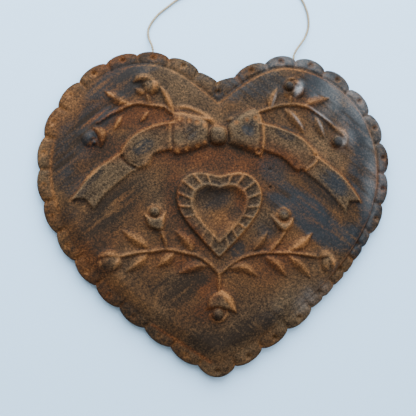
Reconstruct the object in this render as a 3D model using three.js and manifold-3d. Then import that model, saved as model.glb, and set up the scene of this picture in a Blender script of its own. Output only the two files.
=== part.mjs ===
// Beeswax heart ornament: a poured wax heart with a scalloped rim and a raised field that carries
// a bow, ribbons, rosebud sprigs and a small fluted heart, hung by a twine sealed into its back.
// Millimetres. The heart lies on its flat back on Z = 0, with its face up and its hanger towards +Y.
import * as THREE from "three";
import { mergeVertices } from "three/addons/utils/BufferGeometryUtils.js";
import Module from "manifold-3d";

const wasm = await Module();
wasm.setup();

// The heart's overall size
const heartWidth = 110;
const heartHeight = 100.6;

// The rim and its scallops
const rimThickness = 3.4;
const rimRounding = 0.8;
const scallopsPerSide = 15;
const scallopDepth = 1.5;
const cleftScallopLength = 6;
const cleftScallopDepth = 0.3;
const tipScallopWidth = 13.4;
const tipScallopDepth = 3.6;
const chippedScallopDepth = 0.5;
const dimpleRadius = 0.65;
const dimpleDepth = 0.9;
const dimpleInset = 2;

// The raised field: its edge, its rounded shoulder and the crown of its face
const shoulderHeight = 5;
const shoulderWidth = 1.6;
const fieldHeight = 5.8;
const crownRise = 1;

// The relief, as rises above the face and widths on it
const ribbonRise = 1.1;
const bowRise = 2.2;
const knotWidth = 6;
const knotHeight = 6.6;
const knotRise = 2.9;
const stemRadius = 0.65;
const leafHalfWidth = 1.25;
const leafRise = 0.9;
const budRadius = 2.3;
const ballRadius = 1.6;
const fluteRise = 1.5;
const fluteBevel = 0.6;
const fluteRibRadius = 0.4;
const fluteRibs = 10;
const bowlDepth = 1.1;
const reliefRoot = 1.2;

// The hanger and how its ends are held in the back
const twineRadius = 0.3;
const twineHeight = 1.9;
const hangerReach = 0.9;
const tailLength = 14;
const knotRadius = 0.85;
const sealRadius = 2.5;
const sealThickness = 0.75;
const sealSetback = 5;
const fitGap = 0.3;

// How finely round shapes are faceted
const scallopSteps = 4;
const outlineSteps = 28;
const bandExtraSteps = 2;
const roundSides = 8;
const thinSides = 6;
const cutOverrun = 1;
const mergeTolerance = 1e-5;

// A place on the face, in percent of half the heart's width and half its height
function at([u, v]) {
  return new THREE.Vector2((u * heartWidth) / 200, (v * heartHeight) / 200);
}

// Height of the crowned face at a place
function faceHeight(place) {
  const across = place.x / (heartWidth / 2);
  const along = place.y / (heartHeight / 2);
  return fieldHeight + crownRise * Math.max(0, 1 - across * across - along * along);
}

function onFace(share) {
  const place = at(share);
  return new THREE.Vector3(place.x, place.y, faceHeight(place));
}

// A solid of a closed mesh, without the triangles that collapse on a turned shape's axis
function solidOf(geometry) {
  const bare = geometry.clone();
  bare.deleteAttribute("normal");
  bare.deleteAttribute("uv");
  const merged = mergeVertices(bare, mergeTolerance);
  const triangles = [];
  for (let i = 0; i < merged.index.count; i += 3) {
    const [a, b, c] = merged.index.array.slice(i, i + 3);
    if (a !== b && b !== c && c !== a) triangles.push(a, b, c);
  }
  return new wasm.Manifold(new wasm.Mesh({
    numProp: 3,
    vertProperties: new Float32Array(merged.attributes.position.array),
    triVerts: new Uint32Array(triangles),
  }));
}

function geometryOf(solid) {
  const mesh = solid.getMesh();
  const geometry = new THREE.BufferGeometry();
  geometry.setAttribute("position", new THREE.BufferAttribute(mesh.vertProperties, 3));
  geometry.setIndex(new THREE.BufferAttribute(mesh.triVerts, 1));
  geometry.computeVertexNormals();
  return geometry;
}

// A closed solid through rings of equally many points, counter-clockwise seen from the last one.
// flat gives a ring's points as they lie in the plane of the end caps.
function loft(rings, flat = (point) => new THREE.Vector2(point.x, point.y)) {
  const count = rings[0].length;
  const index = [];
  for (let ring = 0; ring + 1 < rings.length; ring += 1) {
    for (let i = 0; i < count; i += 1) {
      const a = ring * count + i;
      const b = ring * count + ((i + 1) % count);
      index.push(a, b, b + count, a, b + count, a + count);
    }
  }
  const last = (rings.length - 1) * count;
  for (const [a, b, c] of THREE.ShapeUtils.triangulateShape(rings[0].map(flat), [])) {
    index.push(c, b, a);
  }
  for (const [a, b, c] of THREE.ShapeUtils.triangulateShape(rings.at(-1).map(flat), [])) {
    index.push(last + a, last + b, last + c);
  }
  const geometry = new THREE.BufferGeometry();
  geometry.setAttribute("position", new THREE.Float32BufferAttribute(
    rings.flat().flatMap((point) => [point.x, point.y, point.z]), 3));
  geometry.setIndex(index);
  return geometry;
}

function ringAt(outline, height) {
  return outline.map((point) => new THREE.Vector3(point.x, point.y, height));
}

// An outline moved inwards by a distance
function inset(outline, distance) {
  const count = outline.length;
  return outline.map((point, i) => {
    const before = outline[(i + count - 1) % count];
    const after = outline[(i + 1) % count];
    const into = new THREE.Vector2().subVectors(point, before).normalize();
    const away = new THREE.Vector2().subVectors(after, point).normalize();
    const along = into.add(away).normalize();
    return new THREE.Vector2(point.x - along.y * distance, point.y + along.x * distance);
  });
}

// The right half of a heart, from its cleft over the lobe to its tip, as joined cubic curves
function heartSide(controls) {
  const points = controls.map(at);
  const side = new THREE.CurvePath();
  for (let i = 0; i + 3 < points.length; i += 3) {
    side.add(new THREE.CubicBezierCurve(points[i], points[i + 1], points[i + 2], points[i + 3]));
  }
  return side;
}

function mirrored(point) {
  return new THREE.Vector2(-point.x, point.y);
}

// A whole heart outline, counter-clockwise from its tip up the right side
function heartOutline(controls, steps) {
  const down = heartSide(controls).getSpacedPoints(steps);
  const left = down.slice(1, -1).map(mirrored);
  return [...down.reverse(), ...left];
}

const rimControls = [
  [0, 84], [14, 88.5], [24, 97.3], [40, 97.3], [65, 97.3], [97.8, 70], [97.8, 26], [97.8, -14], [62, -60],
  [0, -99],
];
const fieldControls = [
  [0, 69], [11, 78], [24, 91.5], [40, 91.5], [63, 91.5], [92.5, 68], [92.5, 27], [92.5, -12], [60, -54],
  [0, -90],
];
const fluteControls = [
  [0, 21], [4, 25], [9, 26.5], [13, 26.5], [20, 26.5], [25, 18], [25, 10], [25, -2], [12, -14], [0, -27],
];
const bowlControls = [
  [0, 16], [3, 18.5], [6, 18.5], [8, 18.5], [12, 18.5], [15.5, 14], [15.5, 9], [15.5, 0], [7, -8], [0, -15.5],
];

// The valleys between the scallops on the right side, from the cleft down to the tip scallop
function rimValleys() {
  const side = heartSide(rimControls);
  const length = side.getLength();
  const lastValley = length - tipScallopWidth / 2;
  const pitch = (lastValley - cleftScallopLength) / scallopsPerSide;
  const valleys = [side.getPoint(0)];
  for (let i = 0; i <= scallopsPerSide; i += 1) {
    valleys.push(side.getPoint((cleftScallopLength + i * pitch) / length));
  }
  return valleys;
}

// One scallop bulging out of its chord, without its end point
function scallop(from, to, depth) {
  const chord = new THREE.Vector2().subVectors(to, from);
  const outwards = new THREE.Vector2(chord.y, -chord.x).normalize();
  const points = [];
  for (let i = 0; i < scallopSteps; i += 1) {
    const t = i / scallopSteps;
    const bulge = depth * 4 * t * (1 - t);
    points.push(from.clone().addScaledVector(chord, t).addScaledVector(outwards, bulge));
  }
  return points;
}

// Three scallops on the lower right have lost their outer edge
const chippedScallops = [10, 11, 12];

// The corners of the rim, counter-clockwise from the tip scallop, with the depth of the scallop after each
function rimCorners() {
  const valleys = rimValleys();
  const last = valleys.length - 1;
  const corners = [];
  for (let i = last; i > 0; i -= 1) {
    const sound = chippedScallops.includes(i - 1) ? chippedScallopDepth : scallopDepth;
    corners.push({ place: valleys[i], depth: i === 1 ? cleftScallopDepth : sound });
  }
  for (let i = 0; i < last; i += 1) {
    corners.push({ place: mirrored(valleys[i]), depth: i === 0 ? cleftScallopDepth : scallopDepth });
  }
  corners.push({ place: mirrored(valleys[last]), depth: tipScallopDepth });
  return corners;
}

// The scalloped outline, stretched to the heart's set width and height about its own middle
function rimOutline() {
  const corners = rimCorners();
  const drawn = corners.flatMap((corner, i) => {
    const next = corners[(i + 1) % corners.length];
    return scallop(corner.place, next.place, corner.depth);
  });
  const box = new THREE.Box2().setFromPoints(drawn);
  const size = box.getSize(new THREE.Vector2());
  const middle = box.getCenter(new THREE.Vector2());
  return drawn.map((point) => new THREE.Vector2(
    ((point.x - middle.x) * heartWidth) / size.x,
    ((point.y - middle.y) * heartHeight) / size.y));
}

function rim(outline) {
  const rounded = inset(outline, rimRounding);
  return loft([
    ringAt(outline, 0),
    ringAt(outline, rimThickness - rimRounding),
    ringAt(rounded, rimThickness),
  ]);
}

// The raised field: a wall, a rounded shoulder and a crowned face in rings about its middle
const crownShares = [1, 0.75, 0.5, 0.2];

function field() {
  const outline = heartOutline(fieldControls, outlineSteps);
  const face = inset(outline, shoulderWidth);
  const crownRings = crownShares.map((share) => face.map((point) => {
    const place = point.clone().multiplyScalar(share);
    return new THREE.Vector3(place.x, place.y, faceHeight(place));
  }));
  const buried = rimThickness / 2;
  return loft([ringAt(outline, buried), ringAt(outline, shoulderHeight), ...crownRings]);
}

// A pricked hole: a cone with its wide end just above the surface
function prick(place, surface) {
  const cone = new THREE.ConeGeometry(dimpleRadius, dimpleDepth * 2, thinSides);
  cone.rotateX(-Math.PI / 2);
  return cone.translate(place.x, place.y, surface);
}

// One dimple inside the middle of each full scallop
function rimDimples(outline) {
  const inner = inset(outline, dimpleInset);
  const middles = inner.filter((_, i) => i % scallopSteps === scallopSteps / 2);
  return middles.map((place) => prick(place, rimThickness));
}

function tube(path, radius, sides, steps) {
  const circle = new THREE.EllipseCurve(0, 0, radius, radius).getPoints(sides).slice(0, -1);
  return new THREE.ExtrudeGeometry(new THREE.Shape(circle), { steps, extrudePath: path });
}

function stem(shares) {
  const path = new THREE.CatmullRomCurve3(shares.map(onFace));
  return tube(path, stemRadius, thinSides, shares.length);
}

// Turns a solid made along +Y so that it lies on the face from one place towards another
function layOnFace(geometry, from, to) {
  const start = onFace(from);
  const end = onFace(to);
  geometry.rotateZ(Math.atan2(end.y - start.y, end.x - start.x) - Math.PI / 2);
  return geometry.translate(start.x, start.y, start.z);
}

function spanOnFace(from, to) {
  return at(from).distanceTo(at(to));
}

// A pointed leaf with a ridge along its middle, as shares of its half width and of its length
const leafShares = [[0, 0], [0.9, 0.35], [0.8, 0.7], [0, 1]];

function leaf(from, to) {
  const length = spanOnFace(from, to);
  const profile = leafShares.map(([width, along]) =>
    new THREE.Vector2(width * leafHalfWidth, along * length));
  const geometry = new THREE.LatheGeometry(profile, thinSides);
  geometry.scale(1, 1, leafRise / leafHalfWidth);
  return layOnFace(geometry, from, to);
}

// A rosebud: a bell of sepals from the stem towards the ball that shows in its mouth
const bellShares = [[0, 0], [0.8, 0.3], [1, 0.85], [0, 0.9]];

function bud(from, to) {
  const length = spanOnFace(from, to);
  const profile = bellShares.map(([width, along]) =>
    new THREE.Vector2(width * budRadius, along * length));
  const bell = layOnFace(new THREE.LatheGeometry(profile, roundSides), from, to);
  const place = onFace(to);
  const ball = new THREE.SphereGeometry(ballRadius, thinSides, thinSides);
  return [bell, ball.translate(place.x, place.y, place.z + ballRadius / 3)];
}

// How a ribbon and a bow loop rise across their width, as [share of the width, share of the rise]
const ribbonSection = [[0, 0.5], [0.06, 1], [0.94, 1], [1, 0.5]];
const loopSection = [[0, 0.2], [0.12, 0.75], [0.5, 1], [0.88, 0.75], [1, 0.2]];

// A band on the face between two edges that both run the same way, with the upper edge on their right
function band({ upper, lower }, rise, section) {
  const upperPath = new THREE.SplineCurve(upper.map(at));
  const lowerPath = new THREE.SplineCurve(lower.map(at));
  const stations = upper.length + bandExtraSteps;
  const rings = [];
  for (let i = 0; i <= stations; i += 1) {
    const from = upperPath.getPoint(i / stations);
    const to = lowerPath.getPoint(i / stations);
    const roots = [from, to].map((place) =>
      new THREE.Vector3(place.x, place.y, faceHeight(place) - reliefRoot));
    const top = section.map(([across, share]) => {
      const place = new THREE.Vector2().lerpVectors(to, from, across);
      return new THREE.Vector3(place.x, place.y, faceHeight(place) + rise * share);
    });
    rings.push([...roots, ...top]);
  }
  const across = at(lower[0]).sub(at(upper[0]));
  return loft(rings, (point) => new THREE.Vector2(point.x * across.x + point.y * across.y, point.z));
}

// Where the relief lies on the face: the edges of the ribbons and of the bow's loops, then the courses
// of the stems, then each leaf and bud from its foot to its end
const ribbons = [
  {
    upper: [[-26, 56], [-41, 53], [-49, 48], [-54, 42], [-56, 36]],
    lower: [[-26, 39], [-38, 35], [-42, 31], [-45, 29], [-51, 31]],
  },
  {
    upper: [[-54, 38], [-63, 31], [-69, 26], [-75, 18], [-82, 8]],
    lower: [[-40, 29], [-48, 24], [-56, 17], [-62, 11], [-69, 0]],
  },
  {
    upper: [[56, 37], [53, 43], [49, 47], [43, 51], [35, 54], [24, 57]],
    lower: [[53, 32], [48, 27], [43, 29], [35, 35], [30, 38], [24, 41]],
  },
  {
    upper: [[82, 9], [78, 15], [73, 22], [68, 27], [61, 33], [54, 38]],
    lower: [[73, -2], [70, 4], [63, 12], [56, 19], [49, 25], [46, 28]],
  },
];
const bowLoops = [
  {
    upper: [[-3, 56], [-8, 58], [-13, 60], [-19, 61], [-27, 61]],
    lower: [[-3, 44], [-8, 42], [-12, 40], [-18, 37], [-26, 36]],
  },
  {
    upper: [[23, 63], [18, 65], [14, 64], [10, 62], [6, 60], [1, 56]],
    lower: [[24, 36], [20, 36], [16, 38], [11, 40], [6, 42], [1, 43]],
  },
];
const stems = [
  [[-6, 58], [-25, 61], [-30, 65], [-38, 66], [-44, 67], [-50, 66], [-55, 63], [-62, 59], [-67, 55]],
  [[-39, 66], [-40, 72]],
  [[6, 58], [24, 64], [30, 66], [36, 68], [42, 68], [49, 68], [53, 65], [58, 62], [63, 58], [67, 54]],
  [[40, 68], [41, 73]],
  [[0, -36], [-5, -30], [-12, -25], [-19, -23], [-29, -21], [-36, -22], [-45, -23], [-54, -25]],
  [[-29, -21], [-30, -16], [-32, -11]],
  [[0, -36], [7, -30], [13, -26], [19, -24], [26, -23], [34, -23], [41, -23], [48, -24], [55, -25]],
  [[28, -23], [33, -17], [37, -11]],
  [[0, -34], [0, -47]],
];
const leaves = [
  [[-50, 66], [-63, 73]],
  [[-25, 62], [-33, 78]],
  [[-54, 60], [-57, 52]],
  [[-38, 65], [-43, 58]],
  [[29, 66], [33, 78]],
  [[49, 68], [63, 73]],
  [[38, 66], [48, 52]],
  [[55, 62], [60, 49]],
  [[-40, -20], [-52, -10]],
  [[-15, -24], [-24, -10]],
  [[-41, -24], [-50, -33]],
  [[-25, -23], [-33, -31]],
  [[-7, -31], [-22, -35]],
  [[42, -21], [52, -12]],
  [[21, -20], [26, -12]],
  [[8, -32], [21, -36]],
  [[26, -25], [38, -36]],
  [[40, -25], [52, -37]],
];
const buds = [
  [[-40, 72], [-43, 79]],
  [[-67, 55], [-69, 45]],
  [[41, 73], [43, 80]],
  [[67, 54], [70, 44]],
  [[-54, -25], [-61, -29]],
  [[-32, -11], [-35, 1]],
  [[55, -25], [64, -30]],
  [[37, -11], [37, 0]],
  [[0, -46], [0, -60]],
];

// The bow's knot, a bead set across the two loops
const knotPlace = [-1, 48];

function bowKnot() {
  const place = onFace(knotPlace);
  const bead = new THREE.SphereGeometry(1, roundSides, roundSides);
  bead.scale(knotWidth / 2, knotHeight / 2, knotRise);
  return bead.translate(place.x, place.y, place.z);
}

// The small heart: a bevelled border with ribs across it, round a bowl that is cut into the face
const fluteTop = fieldHeight + crownRise + fluteRise;

function fluteBorder() {
  const outline = heartOutline(fluteControls, outlineSteps / 2);
  return loft([
    ringAt(outline, fieldHeight - reliefRoot),
    ringAt(outline, fluteTop - fluteBevel),
    ringAt(inset(outline, fluteBevel), fluteTop),
  ]);
}

function fluteRibTubes() {
  const outer = heartSide(fluteControls).getSpacedPoints(fluteRibs);
  const inner = heartSide(bowlControls).getSpacedPoints(fluteRibs);
  const ribs = [];
  for (let i = 1; i < fluteRibs; i += 1) {
    for (const side of [1, -1]) {
      const from = new THREE.Vector3(side * inner[i].x, inner[i].y, fluteTop);
      const to = new THREE.Vector3(side * outer[i].x, outer[i].y, fluteTop - fluteBevel);
      ribs.push(tube(new THREE.LineCurve3(from, to), fluteRibRadius, thinSides, 1));
    }
  }
  return ribs;
}

const bowlFloorShare = 0.5;
const bowlWallShare = 0.85;

function bowl() {
  const outline = heartOutline(bowlControls, outlineSteps / 2);
  const floor = fieldHeight + crownRise - bowlDepth;
  const shrunk = (share) => outline.map((point) => point.clone().multiplyScalar(share));
  return loft([
    ringAt(shrunk(bowlFloorShare), floor),
    ringAt(shrunk(bowlWallShare), (floor + fluteTop) / 2),
    ringAt(outline, fluteTop),
    ringAt(outline, fluteTop + cutOverrun),
  ]);
}

// Where the twine leaves the top edge, on the line that its loop swings about
const hingeLine = heartHeight / 2 + hangerReach;
const leftExit = -20;
const rightExit = 24.5;

function stadium(radius, length, height) {
  const shape = new THREE.Shape();
  shape.absarc(0, length, radius, 0, Math.PI);
  shape.absarc(0, 0, radius, Math.PI, 2 * Math.PI);
  return new THREE.ExtrudeGeometry(shape, { depth: height, bevelEnabled: false, curveSegments: roundSides });
}

// The cuts in the back that hold one end of the twine: a groove, a pocket for its knot and a seal's recess
function anchorCuts(exit) {
  const knotLine = hingeLine - tailLength;
  const grooveWidth = 2 * (twineRadius + fitGap);
  const grooveTop = twineHeight + twineRadius + fitGap;
  const grooveLength = tailLength + cutOverrun;
  const groove = new THREE.BoxGeometry(grooveWidth, grooveLength, grooveTop + cutOverrun);
  groove.translate(exit, knotLine + grooveLength / 2, (grooveTop - cutOverrun) / 2);
  const pocketRadius = knotRadius + fitGap;
  const pocketTop = twineHeight + pocketRadius;
  const pocket = new THREE.CylinderGeometry(pocketRadius, pocketRadius, pocketTop + cutOverrun, roundSides);
  pocket.rotateX(Math.PI / 2);
  pocket.translate(exit, knotLine, (pocketTop - cutOverrun) / 2);
  const recess = stadium(sealRadius, tailLength - sealSetback, sealThickness + fitGap + cutOverrun);
  recess.translate(exit, knotLine, -cutOverrun);
  return [groove, pocket, recess];
}

function waxHeart() {
  const outline = rimOutline();
  const added = [
    field(),
    ...ribbons.map((ribbon) => band(ribbon, ribbonRise, ribbonSection)),
    ...bowLoops.map((loop) => band(loop, bowRise, loopSection)),
    bowKnot(),
    ...stems.map(stem),
    ...leaves.map(([from, to]) => leaf(from, to)),
    ...buds.flatMap(([from, to]) => bud(from, to)),
    fluteBorder(),
  ];
  const cut = [bowl(), ...rimDimples(outline), ...anchorCuts(leftExit), ...anchorCuts(rightExit)];
  let solid = solidOf(rim(outline));
  for (const piece of added) solid = solid.add(solidOf(piece));
  for (const piece of cut) solid = solid.subtract(solidOf(piece));
  for (const rib of fluteRibTubes()) solid = solid.add(solidOf(rib));
  return geometryOf(solid);
}

// The route of the free twine on the surface that the heart lies on, from the left exit to the right one
const surfaceGap = 0.06;
const onSurface = twineRadius + surfaceGap;
const hangerRoute = [
  [leftExit, hingeLine, twineHeight], [-20.1, 52.8, 1.75], [-20.6, 54.6, 0.9], [-21.1, 56.8, onSurface],
  [-21.1, 59, onSurface], [-19.2, 62.4, onSurface], [-15.6, 65.2, onSurface], [-12.4, 67.3, onSurface],
  [-7, 70.5, onSurface], [-0.5, 73.7, onSurface], [6.5, 75.9, onSurface], [13.5, 76.4, onSurface],
  [19.5, 75.2, onSurface], [24.4, 72.6, onSurface], [27.6, 68.8, onSurface], [29.4, 64.4, onSurface],
  [29.7, 60.4, onSurface], [28.7, 56.6, 0.6], [27.2, 54.2, 1.3], [25.6, 52.6, 1.8],
  [rightExit, hingeLine, twineHeight],
];
const hangerSteps = 60;

function hangerTwine() {
  const path = new THREE.CatmullRomCurve3(hangerRoute.map((point) => new THREE.Vector3(...point)));
  let solid = solidOf(tube(path, twineRadius, roundSides, hangerSteps));
  for (const exit of [leftExit, rightExit]) {
    const end = new THREE.SphereGeometry(twineRadius, roundSides, thinSides);
    solid = solid.add(solidOf(end.translate(exit, hingeLine, twineHeight)));
  }
  return geometryOf(solid);
}

// The buried end of the twine, from its knot to just short of the swinging loop
const knotToTail = knotRadius + fitGap;
const tailSpan = tailLength - knotToTail - twineRadius - fitGap;

const waxLook = { color: 0x4a382c, roughness: 0.55, metalness: 0 };
const sealLook = { color: 0x5a4433, roughness: 0.5, metalness: 0 };
const twineLook = { color: 0xcbb894, roughness: 0.9, metalness: 0 };

function piece(name, geometry, look) {
  const mesh = new THREE.Mesh(geometry, new THREE.MeshStandardMaterial(look));
  mesh.name = name;
  return mesh;
}

function anchor(side, exit) {
  const group = new THREE.Group();
  group.position.set(exit, hingeLine - tailLength, 0);
  const tail = piece(`${side}_twine_tail`,
    new THREE.CylinderGeometry(twineRadius, twineRadius, tailSpan, roundSides), twineLook);
  tail.position.set(0, knotToTail + tailSpan / 2, twineHeight);
  const knot = piece(`${side}_stopper_knot`,
    new THREE.SphereGeometry(knotRadius, roundSides, thinSides), twineLook);
  knot.position.z = twineHeight;
  const seal = piece(`${side}_wax_seal`,
    stadium(sealRadius - fitGap, tailLength - sealSetback, sealThickness), sealLook);
  return group.add(tail, knot, seal);
}

const ornament = new THREE.Group();
ornament.add(
  piece("wax_heart", waxHeart(), waxLook),
  piece("hanger_twine", hangerTwine(), twineLook),
  anchor("left", leftExit),
  anchor("right", rightExit),
);
export default ornament;
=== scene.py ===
# Looks of the beeswax heart ornament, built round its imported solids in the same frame.
# Lengths here are in millimetres unless a name says otherwise, and meshes are made in metres.
# Places on the heart's face are in percent of half its width and half its height.
import math

import bpy
import numpy as np
from mathutils import Matrix, Vector
from mathutils.geometry import delaunay_2d_cdt


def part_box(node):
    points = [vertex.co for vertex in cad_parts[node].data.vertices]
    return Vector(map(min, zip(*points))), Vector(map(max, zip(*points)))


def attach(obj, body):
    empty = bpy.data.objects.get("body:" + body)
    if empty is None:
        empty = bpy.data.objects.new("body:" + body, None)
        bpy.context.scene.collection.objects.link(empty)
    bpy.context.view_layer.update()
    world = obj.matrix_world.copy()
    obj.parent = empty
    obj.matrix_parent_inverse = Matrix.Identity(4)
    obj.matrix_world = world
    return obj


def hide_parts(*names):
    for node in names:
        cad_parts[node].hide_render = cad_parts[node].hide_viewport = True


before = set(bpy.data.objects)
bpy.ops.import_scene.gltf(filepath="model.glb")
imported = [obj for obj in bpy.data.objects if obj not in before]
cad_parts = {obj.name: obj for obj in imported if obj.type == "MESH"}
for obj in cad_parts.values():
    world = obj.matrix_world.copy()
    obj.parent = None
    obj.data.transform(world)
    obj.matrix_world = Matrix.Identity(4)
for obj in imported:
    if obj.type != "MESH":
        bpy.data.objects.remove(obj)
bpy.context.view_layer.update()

MM = 0.001


def in_millimetres(corners):
    """The corners of a box in millimetres, from metres."""
    return (np.array(corner) / MM for corner in corners)


heart_low, heart_high = in_millimetres(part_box("wax_heart"))
HALF_WIDTH, HALF_HEIGHT, _ = (heart_high - heart_low) / 2
HEART_TOP = heart_high[2]

# The rim, its scallops and its pricked dimples
RIM_THICKNESS = 3.4
RIM_ROUNDING = 0.95
SCALLOPS_PER_SIDE = 15
SCALLOP_DEPTH = 1.5
SCALLOP_ROUNDNESS = 0.8
SCALLOP_STEPS = 26
DEEP_SCALLOPS = slice(2, 9)
DEEP_PULL = 0.45
LOBE_MIDDLE = (25, 15)
CLEFT_SCALLOP_LENGTH = 6
CLEFT_SCALLOP_DEPTH = 0.3
TIP_SCALLOP_WIDTH = 13.4
TIP_SCALLOP_DEPTH = 3.6
CHIPPED_SCALLOPS = (10, 11, 12)
CHIPPED_DEPTH = 0.5
CHIP_NICK = 0.55
NICK_WIDTH = 0.07
CLEFT_SAG = 1.5
CLEFT_SAG_PLACE = 5.5
CLEFT_SAG_WIDTH = 9
TIP_LIFT = 0.9
TIP_LIFT_PLACE = -18
TIP_LIFT_WIDTH = 20
TIP_LIFT_REACH = 20
CREASE_LENGTH = 4.4
CREASE_DEPTH = 1.1
CREASE_WIDTH = 0.65
DIMPLE_INSET = 2.0
DIMPLE_RADIUS = 0.72
DIMPLE_DEPTH = 1.3
FILLED_DIMPLE_DEPTH = 0.4

# The raised field
FIELD_HEIGHT = 5.8
CROWN_RISE = 1.0
WALL_WIDTH = 0.7
SHOULDER_WIDTH = 2.2
PILLOW_RISE = 1.2
GROOVE_CUT = 0.45
BEAD_RISE = 0.16

# The relief
RIBBON_RISE = 1.15
LOOP_RISE = 2.1
# How high a loop's lower side starts, and over what width it rises to the full height
LOOP_FOOT = 0.55
LOOP_SLOPE = 3.2
LOOP_ROUNDING = 1.8
FOLD_LIFT = 0.5
KNOT_SIZE = (2.7, 2.85)
KNOT_RISE = 2.65
STEM_RADIUS = 0.5
STEM_RISE = 0.95
LEAF_HALF_WIDTH = 1.75
LEAF_RISE = 1.12
CUP_RISE = 1.35
CUP_ROUNDING = 1.2
DOME_RISE = 1.5
SLIT_WIDTH = 0.3
SLIT_DEPTH = 0.45
FLUTE_RISE = 1.3
FLUTE_RIBS = 10
BOWL_DEPTH = 0.35
BOWL_SLOPE = 4.2
FILLET_SHARE = 0.5
FILLET_WIDTH = 0.9
CAST_SOFTNESS = 0.16
LUMP_HEIGHT = 0.05

# The twine and its anchors in the back
TWINE_RADIUS = 0.36
TWINE_HEIGHT = 1.9
PLY_TURN = 1.7
TAIL_LENGTH = 14
SEAL_SETBACK = 5
SEAL_ROUNDING = 0.22
RECESS_RADIUS = 2.5
RECESS_DEPTH = 1.0
GROOVE_RADIUS = 0.6
GROOVE_DEPTH = 2.4

# How finely the wax is meshed, its height map drawn and the curves of its forms followed
GRID_STEP = 0.2
GRID_MARGIN = 1
MESH_STEP = 0.31
BACK_STEP = 1.3
ANCHOR_STEP = 0.3
CURVE_STEPS = 12
CUBIC_STEPS = 60
RIM_POINTS = 600
FIELD_POINTS = 90
FLUTE_POINTS = 60
LINE_POINTS = 40
BAND_POINTS = 30
LEAF_POINTS = 24
CUP_SIDE_POINTS = 16
# Added to a divisor that could be 0
TINY = 1e-6

# The camera that took the photograph, as fitted to the heart's outline
PICTURE_SIDE = 416
FOCAL_PIXELS = 960
SENSOR = 36
CAMERA_TILT = (-2.0, 7.9, -0.1)
CAMERA_AIM = (0, 2.35, 0)
CAMERA_SHIFT = (2.4, 0, -300)


def steps_along(points):
    """The distance from each point of a line to the next."""
    return np.linalg.norm(np.diff(points, axis=0), axis=1)


def unit_rows(rows):
    """Vectors, one in each row, made 1 long."""
    return rows / np.linalg.norm(rows, axis=1)[:, None]


def even_points(points, count):
    """Points spaced evenly along a line through the given ones."""
    along = np.concatenate([[0], np.cumsum(steps_along(points))])
    wanted = np.linspace(0, along[-1], count)
    return np.column_stack([np.interp(wanted, along, axis) for axis in points.T])


def smooth_curve(points, count):
    """Evenly spaced points on a smooth curve through the given ones."""
    knots = np.asarray(points, float)
    padded = np.vstack([2 * knots[0] - knots[1], knots, 2 * knots[-1] - knots[-2]])
    t = np.linspace(0, 1, CURVE_STEPS, endpoint=False)[:, None]
    fine = []
    for a, b, c, d in zip(padded, padded[1:], padded[2:], padded[3:]):
        bend = (2 * a - 5 * b + 4 * c - d) * t ** 2 + (3 * b - a - 3 * c + d) * t ** 3
        fine.append(b + ((c - a) * t + bend) / 2)
    return even_points(np.vstack([*fine, knots[-1:]]), count)


def place(shares):
    """Places on the face in millimetres, from percent of half its width and half its height."""
    return np.asarray(shares, float) * (HALF_WIDTH / 100, HALF_HEIGHT / 100)


def limit(value):
    """A value kept between 0 and 1."""
    return np.clip(value, 0, 1)


def ease(value):
    """A smooth step from 0 to 1."""
    t = limit(value)
    return t * t * (3 - 2 * t)


def rounded(value):
    """A step from 0 to 1 that starts steeply and ends flat."""
    return 1 - (1 - limit(value)) ** 2


def bump(distance, width):
    """A bell of height 1 and that width."""
    return np.exp(-(distance / width) ** 2)


def turned(x, y, degrees):
    """How far along a turned direction and across it places lie."""
    c, s = math.cos(math.radians(degrees)), math.sin(math.radians(degrees))
    return x * c + y * s, y * c - x * s


def evened(values):
    """Values scaled so that most of them lie within 1 of 0."""
    return values / (2 * values.std())


def add_object(name, data):
    """A new object in the scene."""
    thing = bpy.data.objects.new(name, data)
    bpy.context.scene.collection.objects.link(thing)
    return thing


def add_mesh(name, vertices, faces, body):
    """A smooth mesh piece from millimetres, riding on a body."""
    mesh = bpy.data.meshes.new(name)
    corners = [tuple(int(i) for i in face) for face in faces]
    mesh.from_pydata((np.asarray(vertices) * MM).tolist(), [], corners)
    mesh.polygons.foreach_set("use_smooth", np.ones(len(mesh.polygons), bool))
    piece = add_object(name, mesh)
    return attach(piece, body)


# The camera
def add_camera():
    """The camera at the photograph's viewing angle."""
    turn = Matrix.Identity(3)
    for degrees, axis in zip(CAMERA_TILT, "XYZ"):
        turn = turn @ Matrix.Rotation(math.radians(degrees), 3, axis)
    back = turn.transposed()
    spot = Vector(CAMERA_AIM) - back @ Vector(CAMERA_SHIFT)
    data = bpy.data.cameras.new("camera")
    data.sensor_width = SENSOR
    data.lens = SENSOR * FOCAL_PIXELS / PICTURE_SIDE
    camera = add_object("camera", data)
    camera.matrix_world = Matrix.Translation(spot * MM) @ back.to_4x4()
    bpy.context.scene.camera = camera


add_camera()


# The twine: two plies twisted round a centre line
def frames_along(path):
    """Two directions square to a path at each of its points, turned as little as possible."""
    tangents = unit_rows(np.gradient(path, axis=0))
    normal = np.cross(tangents[0], (0, 0, 1))
    normals = []
    for tangent in tangents:
        normal = normal - tangent * (normal @ tangent)
        normal /= np.linalg.norm(normal)
        normals.append(normal)
    return np.array(normals), np.cross(tangents, normals)


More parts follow.
